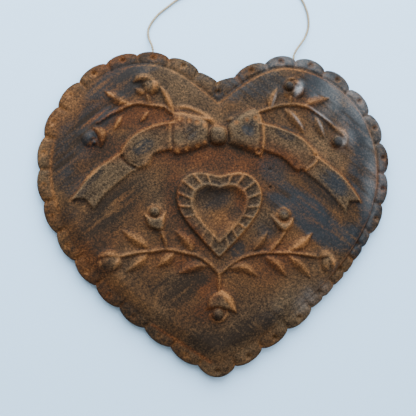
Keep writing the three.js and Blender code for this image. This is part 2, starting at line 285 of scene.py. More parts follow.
def tube(path, radius, sides, offset=0):
    """Vertices and faces of a closed tube round a path, with one radius or one for each point of the path.

    offset numbers its first vertex.
    """
    across, upward = frames_along(path)
    radius = np.broadcast_to(radius, len(path))[:, None, None]
    angles = np.arange(sides) * 2 * math.pi / sides
    rings = (path[:, None] + radius * (np.cos(angles)[None, :, None] * across[:, None]
                                       + np.sin(angles)[None, :, None] * upward[:, None]))
    faces = []
    for ring in range(len(path) - 1):
        for i in range(sides):
            a = offset + ring * sides + i
            b = offset + ring * sides + (i + 1) % sides
            faces.append((a, b, b + sides, a + sides))
    last = offset + (len(path) - 1) * sides
    faces.append(tuple(range(offset + sides - 1, offset - 1, -1)))
    faces.append(tuple(range(last, last + sides)))
    return rings.reshape(-1, 3), faces


PLIES = 2
PLY_SHARE = 0.84
PLY_SIDES = 7
PLY_STEPS_PER_TURN = 9
LENGTH_STEPS = 40
TIP_STEPS = 4
TIP_TURN = 0.45 * math.pi


def with_round_ends(path):
    """A path with a half round beyond each end, and how thick the twine is at each of its points."""
    turns = np.linspace(0, TIP_TURN, TIP_STEPS + 1)[1:]
    beyond = (TWINE_RADIUS * np.sin(turns))[:, None]
    first_way, last_way = path[0] - path[1], path[-1] - path[-2]
    first_way /= np.linalg.norm(first_way)
    last_way /= np.linalg.norm(last_way)
    longer = np.vstack([path[0] + beyond[::-1] * first_way, path, path[-1] + beyond * last_way])
    tips = TWINE_RADIUS * np.cos(turns)
    return longer, np.concatenate([tips[::-1], np.full(len(path), TWINE_RADIUS), tips])


def twisted_twine(name, route, body, round_ends=False):
    """A two-ply twine along a route, with the path that it follows and its length."""
    length = steps_along(smooth_curve(route, LENGTH_STEPS)).sum()
    path = smooth_curve(route, int(length / PLY_TURN * PLY_STEPS_PER_TURN))
    path[:, 2] = np.maximum(path[:, 2], TWINE_RADIUS)
    centre, radii = with_round_ends(path) if round_ends else (path, np.full(len(path), TWINE_RADIUS))
    across, upward = frames_along(centre)
    turns = np.linspace(0, length / PLY_TURN, len(centre)) * 2 * math.pi
    vertices = []
    faces = []
    for ply in range(PLIES):
        angle = (turns + ply * 2 * math.pi / PLIES)[:, None]
        swing = (1 - PLY_SHARE) * radii[:, None]
        strand = centre + swing * (np.cos(angle) * across + np.sin(angle) * upward)
        points, sides = tube(strand, PLY_SHARE * radii, PLY_SIDES, ply * len(centre) * PLY_SIDES)
        vertices.append(points)
        faces += sides
    return add_mesh(name, np.vstack(vertices), faces, body), path, length


# Where the twine leaves the rim, on the line that it swings about
HINGE_Y = 51.2
EXITS = {"left": -20.0, "right": 24.5}
KNOT_Y = HINGE_Y - TAIL_LENGTH
# Over what length below the hinge each end of the twine leans to its loop, and how far
EXIT_RISE = 1.2
EXIT_LEANS = {"left": 0.0, "right": 0.3}
SWING_GAP = 0.02
# The loop comes down from the rim, lies just clear of the floor and rises to the rim again
FLOOR_GAP = 0.06
LYING_HEIGHT = TWINE_RADIUS + FLOOR_GAP
LEFT_LEG = [(-20.4, 52.8, 1.75), (-21.1, 54.7, 0.9)]
LYING_LOOP = [
    (-21.4, 56.8), (-20.8, 59), (-18.5, 62.3), (-15, 65.3), (-12.4, 67.3), (-7, 70.5), (-0.5, 73.7),
    (6.5, 75.8), (13.5, 76.3), (19.5, 75.1), (24.4, 72.6), (27.6, 68.8), (29.4, 64.4), (29.7, 60.4),
]
RIGHT_LEG = [(28.7, 57.2, 0.6), (27.3, 55, 1.2), (26.1, 53.4, 1.65), (25.3, 52.2, 1.85)]
HANGER_ROUTE = [
    (EXITS["left"], HINGE_Y, TWINE_HEIGHT), *LEFT_LEG,
    *[(x, y, LYING_HEIGHT) for x, y in LYING_LOOP],
    *RIGHT_LEG, (EXITS["right"] + EXIT_LEANS["right"], HINGE_Y, TWINE_HEIGHT),
]
hanger, hanger_path, hanger_length = twisted_twine("twine_loop", HANGER_ROUTE, "hanger", round_ends=True)
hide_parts("hanger_twine")


def tail(side, exit_x):
    """The buried end of the twine, from its knot along its groove to the round end of the loop."""
    low, high = in_millimetres(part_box(f"{side}_twine_tail"))
    reach = 1 - (TWINE_RADIUS + SWING_GAP) / EXIT_RISE
    ends = [(exit_x, low[1], TWINE_HEIGHT), (exit_x, (low[1] + high[1]) / 2, TWINE_HEIGHT),
            (exit_x, HINGE_Y - EXIT_RISE, TWINE_HEIGHT),
            (exit_x + reach * EXIT_LEANS[side], HINGE_Y - (1 - reach) * EXIT_RISE, TWINE_HEIGHT)]
    piece, _, _ = twisted_twine(f"{side}_twine_end", ends, "heart")
    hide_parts(f"{side}_twine_tail")
    return piece


KNOT_STEPS = 60
KNOT_SIDES = 8


def stopper_knot(side):
    """An overhand knot pulled tight, in the space of its solid."""
    low, high = in_millimetres(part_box(f"{side}_stopper_knot"))
    middle = (low + high) / 2
    reach = (high - low) / 2 - TWINE_RADIUS
    t = np.linspace(0, 2 * math.pi, KNOT_STEPS)
    trefoil = np.column_stack([
        np.sin(t) + 2 * np.sin(2 * t), np.cos(t) - 2 * np.cos(2 * t), -3 * np.sin(3 * t)])
    path = middle + trefoil / 3 * reach
    piece = add_mesh(f"{side}_overhand_knot", *tube(path, TWINE_RADIUS, KNOT_SIDES), "heart")
    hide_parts(f"{side}_stopper_knot")
    return piece


twine_pieces = [hanger]
for side, exit_x in EXITS.items():
    twine_pieces += [tail(side, exit_x), stopper_knot(side)]


# The heart's outlines
RIM_CONTROLS = [
    (0, 84), (14, 88.5), (24, 97.3), (40, 97.3), (65, 97.3), (97.8, 70), (97.8, 26), (97.8, -14), (62, -60),
    (0, -99),
]
FIELD_CONTROLS = [
    (0, 69), (11, 78), (24, 91.5), (40, 91.5), (63, 91.5), (92.5, 68), (92.5, 27), (92.5, -12), (60, -54),
    (0, -90),
]
FLUTE_CONTROLS = [
    (0, 24.3), (3, 24.8), (7, 26.4), (11.5, 26.4), (19, 26.4), (24.7, 19.5), (24.7, 11), (24.7, -1),
    (12, -14), (0, -27),
]
BOWL_CONTROLS = [
    (0, 16.4), (2.5, 17.5), (4.5, 18), (6.5, 18), (11, 18), (15.2, 13.5), (15.2, 8.5), (15.2, 0), (7, -8),
    (0, -15.5),
]


def heart_side(controls, count):
    """The right half of a heart from its cleft to its tip, as joined cubic curves."""
    points = place(controls)
    t = np.linspace(0, 1, CUBIC_STEPS)[:, None]
    parts = []
    for i in range(0, len(points) - 3, 3):
        a, b, c, d = points[i:i + 4]
        parts.append(a * (1 - t) ** 3 + 3 * b * t * (1 - t) ** 2 + 3 * c * t ** 2 * (1 - t) + d * t ** 3)
    return even_points(np.vstack(parts), count)


def heart_outline(controls, count):
    """A whole heart outline, counter-clockwise from its tip up the right side."""
    down = heart_side(controls, count)
    return np.vstack([down[::-1], down[1:-1] * (-1, 1)])


def scallop(start, end, depth, nick):
    """One scallop bulging out of its chord, without its end point, with a nick where it is chipped."""
    chord = end - start
    outwards = np.array((chord[1], -chord[0])) / np.linalg.norm(chord)
    t = np.arange(SCALLOP_STEPS)[:, None] / SCALLOP_STEPS
    bulge = depth * (4 * t * (1 - t)) ** SCALLOP_ROUNDNESS - nick * bump(t - 0.5, NICK_WIDTH)
    return start + t * chord + bulge * outwards


def rim_corners():
    """The valleys of the rim, counter-clockwise from the tip, with the next scallop's depth and nick."""
    side = heart_side(RIM_CONTROLS, RIM_POINTS)
    length = steps_along(side).sum()
    along = np.linspace(0, length, len(side))
    wanted = np.linspace(CLEFT_SCALLOP_LENGTH, length - TIP_SCALLOP_WIDTH / 2, SCALLOPS_PER_SIDE + 1)
    wanted = np.concatenate([[0], wanted])
    valleys = np.column_stack([np.interp(wanted, along, axis) for axis in side.T])
    right = valleys.copy()
    outwards = right[DEEP_SCALLOPS] - LOBE_MIDDLE
    right[DEEP_SCALLOPS] -= DEEP_PULL * unit_rows(outwards)
    depths = np.full(len(valleys), SCALLOP_DEPTH)
    depths[DEEP_SCALLOPS] += DEEP_PULL
    depths[1] = CLEFT_SCALLOP_DEPTH
    last = len(valleys) - 1
    corners = []
    for i in range(last, 0, -1):
        chipped = i - 1 in CHIPPED_SCALLOPS
        corners.append((right[i], CHIPPED_DEPTH if chipped else depths[i], CHIP_NICK if chipped else 0))
    for i in range(last):
        corners.append((valleys[i] * (-1, 1), SCALLOP_DEPTH if i else CLEFT_SCALLOP_DEPTH, 0))
    corners.append((valleys[last] * (-1, 1), TIP_SCALLOP_DEPTH, 0))
    return corners


def rim_outline():
    """The scalloped outline, stretched to the solid's own width and height."""
    corners = rim_corners()
    drawn = np.vstack([
        scallop(start, end, depth, nick)
        for (start, depth, nick), (end, _, _) in zip(corners, corners[1:] + corners[:1])])
    low, high = drawn.min(0), drawn.max(0)
    drawn = (drawn - (low + high) / 2) * (2 * HALF_WIDTH, 2 * HALF_HEIGHT) / (high - low)
    sag = CLEFT_SAG * bump(drawn[:, 0] - CLEFT_SAG_PLACE, CLEFT_SAG_WIDTH) * (drawn[:, 1] > 0)
    lift = TIP_LIFT * bump(drawn[:, 0] - TIP_LIFT_PLACE, TIP_LIFT_WIDTH) * ease(-drawn[:, 1] / TIP_LIFT_REACH)
    drawn[:, 1] += lift - sag
    return drawn


def inset(outline, distance):
    """An outline moved inwards by a distance."""
    into = outline - np.roll(outline, 1, axis=0)
    away = np.roll(outline, -1, axis=0) - outline
    along = unit_rows(unit_rows(into) + unit_rows(away))
    return outline + distance * np.column_stack([-along[:, 1], along[:, 0]])


# The grid that the height of the face is drawn on
xs = np.arange(-HALF_WIDTH - GRID_MARGIN, HALF_WIDTH + GRID_MARGIN, GRID_STEP)
ys = np.arange(-HALF_HEIGHT - GRID_MARGIN, HALF_HEIGHT + GRID_MARGIN, GRID_STEP)
X, Y = np.meshgrid(xs, ys)
EVERYWHERE = (slice(None), slice(None))


def around(points, margin):
    """The part of the grid round a point or several."""
    points = np.atleast_2d(points)
    low, high = points.min(0) - margin, points.max(0) + margin
    rows = slice(*np.searchsorted(ys, (low[1], high[1])))
    columns = slice(*np.searchsorted(xs, (low[0], high[0])))
    return rows, columns


def distance_from(spot, area=EVERYWHERE):
    """Distance of the grid points from a spot."""
    return np.hypot(X[area] - spot[0], Y[area] - spot[1])


def along_curve(curve, area):
    """Distance to a curve, and the share of its length at the nearest point."""
    px, py = X[area], Y[area]
    nearest = np.full(px.shape, np.inf)
    share = np.zeros(px.shape)
    pieces = len(curve) - 1
    for i in range(pieces):
        step = curve[i + 1] - curve[i]
        dx, dy = px - curve[i][0], py - curve[i][1]
        t = limit((dx * step[0] + dy * step[1]) / (step @ step))
        gap = np.hypot(dx - t * step[0], dy - t * step[1])
        closer = gap < nearest
        nearest = np.where(closer, gap, nearest)
        share = np.where(closer, (i + t) / pieces, share)
    return nearest, share


def depth_inside(outline, area):
    """How deep each grid point lies inside a closed outline, negative outside it."""
    px, py = X[area], Y[area]
    gap, _ = along_curve(np.vstack([outline, outline[:1]]), area)
    hit = np.zeros(px.shape, bool)
    for (x0, y0), (x1, y1) in zip(outline, np.roll(outline, -1, axis=0)):
        if y0 != y1:
            crosses = (y0 > py) != (y1 > py)
            hit ^= crosses & (px < x0 + (py - y0) * (x1 - x0) / (y1 - y0))
    return np.where(hit, gap, -gap)


def smear(values, length, width, degrees=0):
    """A grid softened by a bell of that length and width, turned by some degrees."""
    fy = np.fft.fftfreq(values.shape[0], GRID_STEP)[:, None]
    fx = np.fft.rfftfreq(values.shape[1], GRID_STEP)[None, :]
    along, across = turned(fx, fy, degrees)
    bell = np.exp(-2 * math.pi ** 2 * ((length * along) ** 2 + (width * across) ** 2))
    return np.fft.irfft2(np.fft.rfft2(values) * bell, values.shape)


def blur(values, width):
    """A grid softened evenly by a bell of that width, with its edges carried on outwards."""
    padding = int(4 * width / GRID_STEP) + 1
    soft = smear(np.pad(values, padding, mode="edge"), width, width)
    return soft[padding:-padding, padding:-padding]


# Where the relief lies: the two edges of each ribbon and bow loop, the courses of the stems and leaves
# The tails of the ribbons end in a notch
RIBBONS = [
    ([(-54, 38), (-63, 31), (-69, 26), (-75, 18), (-82, 8)],
     [(-40, 29), (-48, 24), (-56, 17), (-62, 11), (-69, 1)], [(-74.5, 8.5)]),
    ([(54, 38), (61, 33), (68, 27), (73, 22), (78, 15), (82, 8.5)],
     [(46, 28), (49, 25), (56, 19), (63, 12), (70, 4), (72.5, -1)], [(75.5, 8)]),
]
FOLDS = [
    ([(-24, 56.6), (-30.3, 55.8), (-38.6, 53.2), (-46.8, 48.3), (-52.8, 41.5), (-55.5, 36.1)],
     [(-24, 37.8), (-29.7, 37.2), (-35, 35.6), (-37.4, 31.8), (-39.9, 28.4), (-43.6, 27.6), (-48.2, 29.8),
      (-55, 34.5)]),
    ([(21.8, 56.9), (27.5, 55.8), (34.6, 53.8), (46.1, 48.4), (52, 43), (56, 38.3)],
     [(21.8, 41), (25.4, 38), (34.6, 34.5), (39.5, 30), (43.7, 26.2), (47.5, 26.8), (50.6, 28.6),
      (54.7, 34.2)]),
]
LOOPS = [
    ([(-4.7, 52), (-5.8, 55.7), (-8.4, 58.2), (-15.5, 61), (-22, 62), (-26.2, 61), (-27.8, 57)],
     [(-4.7, 44.5), (-5.6, 41.5), (-10.8, 39.2), (-16.4, 37.3), (-22.9, 35.2), (-26.6, 36.6), (-27.8, 39.5)]),
    ([(4, 52), (4.4, 54.6), (6.6, 58), (13, 62.6), (19.2, 65.2), (22.5, 63.8), (24.6, 58)],
     [(4, 45.6), (4.7, 42.8), (11.2, 39.7), (17.3, 37.5), (22, 35.2), (24.2, 36.8), (25, 41)]),
]
# Ridges with their width and height, on the loops, the ends of the folds and the lowest cup
# A negative height cuts a groove
RIDGES = [
    ([(-25.6, 61.3), (-20.1, 61.4), (-14.5, 60), (-7.7, 57.7), (-1.2, 54.4)], 0.65, 0.55),
    ([(-23.8, 64.9), (-20.1, 65.5), (-15.4, 64.4), (-9, 61.4), (-2, 56.4)], 0.7, 0.6),
    ([(-27.3, 58.2), (-27.9, 52.1), (-27.7, 45.1), (-27, 38)], 0.5, 0.3),
    ([(22.5, 63.3), (24.4, 56.1), (24.9, 45.9), (23.7, 35.7)], 0.5, 0.6),
    ([(3.4, 56.6), (7.4, 59.8), (13.2, 63.2), (19, 65.3), (22.5, 63.5)], 0.45, 0.18),
    ([(-36.4, 34.4), (-38, 31.6), (-40.2, 28.8), (-43.6, 28.2), (-48.2, 30.4)], 0.45, 0.26),
    ([(-55.2, 35.2), (-52, 31.2), (-48.8, 28.8), (-45.4, 27.2)], 0.42, -0.5),
    ([(54.4, 41), (56.4, 37.8), (55.8, 34), (52.6, 30.4), (48.2, 27.4)], 0.42, 0.42),
    ([(4.6, -57.6), (4.8, -60), (3.4, -62.6), (1.2, -64)], 0.45, 0.36),
]
# Pricks in the loops with the powder in them
LOOP_PITS = [
    (-22, 57.7, 0.6), (-16.9, 56.8, 0.6), (-12.7, 55.9, 0.6), (-8.2, 54, 0.5), (-23.3, 38.2, 0.5),
    (-18.1, 39.8, 0.5), (-12.2, 41.6, 0.5), (-8, 44, 0.4), (9.3, 56.3, 0.5), (15.4, 57.8, 0.5),
    (20.3, 59.3, 0.5), (12.4, 41.6, 0.15), (17, 40.2, 0.15),
]
RING_PIT = (22, 39.2)
KNOT_PLACE = (-0.8, 48.3)
STEMS = [
    [(-6, 58), (-25, 61), (-30, 65), (-38, 66), (-44, 67), (-50, 66), (-55, 63), (-62, 59), (-67, 55)],
    [(-39, 66), (-39.5, 69), (-40, 72)],
    [(6, 58), (24, 64), (37, 68), (49, 67.5), (58, 62), (67, 54)],
    [(40, 68), (40.5, 70), (41, 73)],
    [(0, -36), (-5, -30), (-12, -25), (-19, -23), (-29, -21), (-36, -22), (-45, -23), (-54, -25)],
    [(-29, -21), (-30, -16), (-32, -11)],
    [(0, -36), (7, -30), (13, -26), (19, -24), (26, -23), (34, -23), (41, -23), (48, -24), (55, -25)],
    [(28, -23), (33, -17), (37, -11)],
    [(0, -34), (0, -40), (0, -47)],
]
BRIGHT_LEAVES = [
    [(-49, 66), (-56, 69), (-63, 74)],
    [(28.5, 66), (30, 72), (33, 78)],
    [(49, 68), (55, 71), (63, 73)],
    [(39, -22), (46.5, -17.5), (53, -11)],
]
# Leaves with a half width, rise and powder of their own
OTHER_LEAVES = [
    ([(1.6, -46), (5, -51.6), (9.8, -59)], 1.8, 1.75, 1.1),
    ([(-25, 61), (-27.8, 67.5), (-30, 73), (-33.2, 78)], 1.15, 1.5, 1.0),
    ([(-54.3, 59), (-56, 55.4), (-58, 51.2)], 0.8, 0.9, 0.7),
    ([(-39.6, 62), (-41.6, 59), (-43.6, 56.2)], 0.7, 0.8, 0.6),
]
LEAVES = [
    [(-39, -20), (-46, -15), (-53, -10)],
    [(38, 65), (43, 60), (46, 56), (48, 51)],
    [(55, 61), (58, 55), (60, 49)],
    [(-15, -23), (-17, -17), (-24, -10)],
    [(-40, -24), (-45, -29), (-51, -34)],
    [(-25, -23), (-29, -27), (-34, -31)],
    [(-7, -31), (-13, -31), (-22, -35)],
    [(19, -22), (22, -18), (27, -11)],
    [(5.5, -32.5), (13.5, -31.5), (21.5, -37)],
    [(26, -25), (33, -30), (38, -37)],
    [(40, -25), (47, -31), (52, -38)],
]
# Cups have a left and a right side, each from foot to tip, a lip between the tips, a ball and its radius
CUPS = [
    ([(-33.4, -10.2), (-38.7, -8.2), (-40.6, -5), (-41.4, 0.1)],
     [(-31.2, -9.8), (-30.1, -6.9), (-29.9, -2.4), (-29.6, 2.1)],
     [(-38.3, -1), (-34.9, -1.3), (-31.6, -0.5)], (-35.8, 1.4), 1.55),
    ([(36.5, -10.6), (33.4, -8.3), (31, -4), (29.8, -0.1)], [(38, -10.6), (41.1, -7.3), (42, -4), (42.2, -1)],
     [(33.1, -2.6), (36.8, -4.3), (40, -3.1)], (36.7, -0.1), 1.65),
    ([(0.1, -45.7), (-3.1, -47.1), (-6.1, -50.8), (-7.1, -56.9)],
     [(1.5, -45.7), (3.6, -47.9), (7.1, -53.2), (9.3, -58.6)],
     [(-3.9, -57.2), (-0.5, -56.6), (3.6, -57.4)], (-0.6, -60.2), 1.75),
]
# Buds have a dome with its two half sizes, petals with their half width, rise and maybe powder, a ball with
# its radius, and slits
BUDS = [
    ((-39.1, 77.6, 2.4, 2.6),
     [([(-47.2, 80.6), (-45, 82.2), (-42.2, 82.9), (-38.7, 82), (-35.8, 79.2)], 1.5, 1.7, 0.6),
      ([(-37.2, 81.4), (-36.2, 77.6), (-37.6, 73.2)], 1.8, 2.0, 1.0),
      ([(-40.2, 73.9), (-44.1, 74.6), (-46.8, 76.6)], 1.1, 0.9)],
     (), [[(-46.8, 77.4), (-43.7, 76.8), (-41.4, 77.6)]]),
    ((-71.6, 45.3, 2.4, 2.6),
     [([(-69, 51.4), (-66.3, 49.6), (-65, 46.7), (-65.3, 40.9)], 1.5, 1.7),
      ([(-72, 49.8), (-74, 46), (-73, 41.5)], 1.1, 1.2)],
     (-68.9, 43.1, 0.8), [[(-70, 48.2), (-68, 46.8), (-66.9, 44.7), (-66.8, 41.5)]]),
    ((41.5, 78.5, 2.3, 2.6),
     [([(42.6, 82.8), (45.5, 80.8), (47.4, 79.6)], 1.0, 1.5),
      ([(47.2, 80), (46, 76.5), (44.1, 73)], 1.3, 1.7),
      ([(37.9, 82.2), (40.6, 84.2), (44.1, 84.3)], 0.5, 1.2),
      ([(39.4, 73), (38.5, 76), (38, 79)], 0.8, 0.8)],
     (40.1, 79.6, 1.5), []),
    ((69.3, 47.5, 2.3, 2.8),
     [([(66.3, 54.5), (69, 52.3), (71.6, 48.9), (73.1, 43)], 1.8, 1.7),
      ([(71.8, 47), (71.4, 44.5), (70, 42)], 0.9, 1.5)],
     (67.8, 46, 1.65), []),
    ((-60.3, -28.7, 3.2, 3),
     [([(-66.2, -25.6), (-62.5, -24.4), (-58.5, -24.6), (-54.6, -25.4)], 1.4, 1.6),
      ([(-55.4, -25.7), (-56.4, -29.4), (-58, -33)], 1.3, 1.5, 0.7),
      ([(-64.9, -26.8), (-65, -30.6), (-63.6, -34.3)], 0.8, 1.2)],
     (), []),
    ((62.4, -28.4, 2.6, 3.2),
     [([(57, -25.3), (60.8, -24.4), (64.5, -25.5)], 1.5, 1.8),
      ([(63.7, -25.5), (65, -29), (65.6, -33.5)], 1.3, 1.8, 0.9),
      ([(60.2, -26.5), (61, -29.5), (62.5, -33)], 1.2, 1.3)],
     (), [[(62.6, -27.5), (63.2, -30.5), (63.8, -33)]]),
]
EDGE_STREAK = [(-36.4, -66.6), (-24.8, -74.7), (-13.6, -82.4), (-4, -89.5)]
PINHOLES = [(29, 28), (29, 17)]

relief = np.zeros(X.shape)
# Where the relief shows cloth, where its powder is worn off or shade is painted, and where powder lies thick
# or a highlight is painted
cloth = np.zeros(X.shape)
worn_and_shaded = np.zeros(X.shape)
thick_powder_and_highlight = np.zeros(X.shape)


def mark(grid, area, values):
    """Raises one of the marks to the given values where it is lower."""
    grid[area] = np.maximum(grid[area], values)


def raise_to(area, values):
    """Lifts the relief to the given height where it is lower."""
    mark(relief, area, values)


def near_course(course, count, margin):
    """The grid round a course, with the distance from it and the share of its length."""
    curve = smooth_curve(place(course), count)
    area = around(curve, margin)
    return area, *along_curve(curve, area)


def near_place(middle, margin):
    """The grid round a place on the face, with how far its points lie to the right of it and above it."""
    spot = place(middle)
    area = around(spot, margin)
    return area, X[area] - spot[0], Y[area] - spot[1]


STEM_TAPER = 0.2
# The share of a stem's height that its foot has, and how much wider than the crest the foot is
STEM_FOOT_SHARE = 0.38
STEM_FOOT_WIDTH = 2.3


def draw_stem(course):
    """A thin stem with a crisp crest on a soft foot."""
    area, gap, share = near_course(course, LINE_POINTS, 6 * STEM_RADIUS)
    radius = STEM_RADIUS * (1 - STEM_TAPER * share)
    foot = bump(gap, STEM_FOOT_WIDTH * radius)
    raise_to(area, STEM_RISE * ((1 - STEM_FOOT_SHARE) * bump(gap, radius) + STEM_FOOT_SHARE * foot))


LEAF_POWDER = 0.22
BRIGHT_LEAF_POWDER = 0.7
LEAF_ROUNDNESS = 0.8
PETAL_ROUNDNESS = 0.6
# Below 1 the widest place of a leaf is nearer to its foot
LEAF_BALANCE = 0.85
LEAF_END_WIDTH = 0.25
LEAF_END_RISE = 0.4


def draw_leaf(course, half_width=LEAF_HALF_WIDTH, rise=LEAF_RISE, powder=LEAF_POWDER,
              roundness=LEAF_ROUNDNESS):
    """A pointed leaf whose two halves slope away from its midrib, or a petal where it is rounder."""
    area, gap, share = near_course(course, LEAF_POINTS, 2 * half_width)
    swell = np.sin(math.pi * np.clip(share, 0.02, 0.98) ** LEAF_BALANCE)
    width = half_width * swell ** roundness + LEAF_END_WIDTH
    slope = limit(1 - gap / width) ** roundness
    raise_to(area, rise * (LEAF_END_RISE + (1 - LEAF_END_RISE) * swell) * slope)
    mark(thick_powder_and_highlight, area, powder * ease(1 - gap / width))


BALL_SEAT = 0.25
BALL_FLATTENING = 0.9
BALL_GAP_WIDTH = 0.35


def draw_ball(ball, radius):
    """A ball half sunk in what is there, with a shallow gap round it."""
    area, dx, dy = near_place(ball, 3 * radius)
    distance = np.hypot(dx, dy)
    inwards = radius - distance
    seat = BALL_SEAT + 0.5 * relief[area].max(where=distance < GRID_STEP, initial=0)
    relief[area] *= 1 - 0.5 * bump(np.maximum(-inwards, 0), BALL_GAP_WIDTH)
    dome = BALL_FLATTENING * np.sqrt(np.clip(radius ** 2 - distance ** 2, 0, None))
    raise_to(area, np.where(inwards > 0, seat + dome, 0))
    mark(worn_and_shaded, area, 1.05 * ease(inwards / 0.7 + 0.2))
    mark(cloth, area, 0.8 * ease(inwards / 0.5 + 0.5))
    mark(thick_powder_and_highlight, area, 0.4 * bump(-inwards - 0.3, 0.5))


HOOD_RISE = 0.35
HOOD_GAP = 0.55
HOOD_WIDTH = 0.45
HOOD_POWDER = 0.65


def draw_hood(ball, radius, stalk):
    """A thin powdered edge round the side of a ball that is turned away from its stalk."""
    ahead = place(ball) - place(stalk)
    ahead /= np.hypot(*ahead)
    area, dx, dy = near_place(ball, 3 * radius)
    turned_away = ease((dx * ahead[0] + dy * ahead[1]) / radius + 0.6)
    hood = bump(np.hypot(dx, dy) - radius - HOOD_GAP, HOOD_WIDTH) * turned_away
    relief[area] += HOOD_RISE * hood
    mark(thick_powder_and_highlight, area, HOOD_POWDER * hood)


CUP_LIP_RISE = 0.25
LIP_WIDTH = 0.35


def draw_cup(left, right, lip, ball, radius):
    """An open cup with a pointed lip on either side, and a ball in its mouth."""
    left_side, right_side = (smooth_curve(place(side), CUP_SIDE_POINTS) for side in (left, right))
    mouth = smooth_curve(place([left[-1], *lip, right[-1]]), LEAF_POINTS)
    cup = np.vstack([left_side, mouth[1:-1], right_side[::-1]])
    area = around(cup, 2.5)
    depth = depth_inside(cup, area)
    within = ease(depth / 0.4 + 1)
    from_lip, _ = along_curve(mouth, area)
    from_right, _ = along_curve(right_side, area)
    raise_to(area, CUP_RISE * rounded(depth / CUP_ROUNDING))
    relief[area] += CUP_LIP_RISE * bump(from_lip - 0.15, LIP_WIDTH) * within
    mark(worn_and_shaded, area, 0.35 * ease(depth / 1.2 - 0.3))
    mark(cloth, area, 0.8 * ease(depth / 0.6))
    mark(thick_powder_and_highlight, area, 0.2 * bump(from_lip, LIP_WIDTH) + 0.1 * bump(depth, 0.5))
    # A painted highlight down the cup's right side
    mark(thick_powder_and_highlight, area, 0.6 * bump(from_right - 0.5, 0.9) * within)
    draw_ball(ball, radius)
    draw_hood(ball, radius, (np.array(left[0]) + np.array(right[0])) / 2)


DOME_ROUNDNESS = 0.7


def draw_bud(dome, petals, ball, slits):
    """A closed bud: petals folded over a dome, parted by slits, with a ball between them."""
    *middle, half_width, half_height = dome
    area, dx, dy = near_place(middle, 5)
    reach = (dx / half_width) ** 2 + (dy / half_height) ** 2
    raise_to(area, DOME_RISE * limit(1 - reach) ** DOME_ROUNDNESS)
    mark(worn_and_shaded, area, 0.15 * ease(1.3 - reach))
    mark(cloth, area, 0.3 * ease(1.3 - reach))
    mark(thick_powder_and_highlight, area, 0.3 * bump(reach - 1.2, 0.4))
    for petal in petals:
        draw_leaf(*petal, roundness=PETAL_ROUNDNESS)
    for course in slits:
        draw_ridge(course, SLIT_WIDTH, -SLIT_DEPTH)
    if ball:
        draw_ball(ball[:2], ball[2])


def band_parts(upper, lower, end=()):
    """The grid round a band, with the depth inside it, the distances from its edges and two shares.

    The shares say how far up the band and how far along it a point lies.
    """
    top, bottom = (smooth_curve(place(edge), BAND_POINTS) for edge in (upper, lower))
    area = around(np.vstack([top, bottom]), 1.5)
    depth = depth_inside(np.vstack([top, *[place([spot]) for spot in end], bottom[::-1]]), area)
    from_top, along = along_curve(top, area)
    from_bottom, _ = along_curve(bottom, area)
    upwards = from_bottom / (from_top + from_bottom + TINY)
    return area, depth, from_top, from_bottom, upwards, along


RIBBON_EDGE_RISE = 0.3
RIBBON_EDGE_WIDTH = 0.35
RIBBON_LOW_SHARE = 0.6


def draw_ribbon(upper, lower, end=(), lift=0):
    """A ribbon lying on the face, with a crisp upper edge, sloping down to a soft lower one."""
    area, depth, from_top, _, upwards, _ = band_parts(upper, lower, end)
    edge = RIBBON_EDGE_RISE * bump(from_top - 0.35, RIBBON_EDGE_WIDTH)
    softness = 0.5 + 0.7 * (1 - upwards)
    slope = RIBBON_LOW_SHARE + (1 - RIBBON_LOW_SHARE) * upwards + edge
    raise_to(area, (RIBBON_RISE + lift) * ease(depth / softness) * slope)
    mark(cloth, area, ease(depth / 0.6 + 0.3))
    # The powder line on the upper edge also paints the highlight along it
    mark(thick_powder_and_highlight, area, 0.85 * bump(from_top - 0.15, RIBBON_EDGE_WIDTH))


def draw_loop(upper, lower):
    """A puffed loop of the bow."""
    area, depth, _, from_bottom, upwards, along = band_parts(upper, lower)
    puff = (0.88 + 0.12 * np.sin(math.pi * upwards)) * (1 - 0.15 * along)
    puff *= LOOP_FOOT + (1 - LOOP_FOOT) * ease(from_bottom / LOOP_SLOPE)
    raise_to(area, LOOP_RISE * rounded(depth / LOOP_ROUNDING) * puff)
    mark(cloth, area, ease(depth / 0.6 + 0.3))
    # Painted shade along the loop's lower edge, also just outside it
    mark(worn_and_shaded, area, 0.2 * bump(from_bottom - 0.4, 0.8))


RIDGE_POWDER = 1.6
RIDGE_END = 1 / 8


def draw_ridge(course, width, height):
    """A thin ridge on top of what is there, or a groove in it where the height is negative."""
    area, gap, share = near_course(course, LINE_POINTS, 4 * width)
    relief[area] += height * bump(gap, width) * ease(share / RIDGE_END) * ease((1 - share) / RIDGE_END)
    mark(thick_powder_and_highlight, area, RIDGE_POWDER * height * bump(gap, width))


PIT_LIP = 0.25


def draw_pit(middle, radius, depth):
    """A pricked pit with a slightly raised lip."""
    area, dx, dy = near_place(middle, 4 * radius)
    distance = np.hypot(dx, dy)
    lip = PIT_LIP * depth * bump(distance - 1.4 * radius, 0.5 * radius)
    relief[area] += lip - depth * bump(distance, radius)


KNOT_SQUARENESS = 2.8
KNOT_CREASE = 0.2


def draw_knot():
    """The knot of the bow: a rounded block with a crease round it."""
    area, dx, dy = near_place(KNOT_PLACE, 5)
    reach = np.abs(dx / KNOT_SIZE[0]) ** KNOT_SQUARENESS + np.abs(dy / KNOT_SIZE[1]) ** KNOT_SQUARENESS
    relief[area] -= KNOT_CREASE * bump(np.sqrt(reach) - 1.12, 0.14) * (relief[area] > 0.5)
    raise_to(area, KNOT_RISE * limit(1 - reach) ** 0.4)
    mark(cloth, area, ease(4 - 4 * reach))
    mark(worn_and_shaded, area, 0.4 * ease(2 - 2 * reach))
    mark(thick_powder_and_highlight, area, 0.5 * bump(np.sqrt(reach) - 1.05, 0.15))


# Middle and reach of the stretch of the small heart whose ribs are worn smooth
WORN_FLUTES = (-6, -4.5)
WORN_FLUTES_REACH = 5
FLUTE_RIDGE_WIDTH = 0.42
FLUTE_RIB_WIDTH = 0.4
# The height of the ground between the ribs, as a share of the border's
FLUTE_GROUND = 0.6


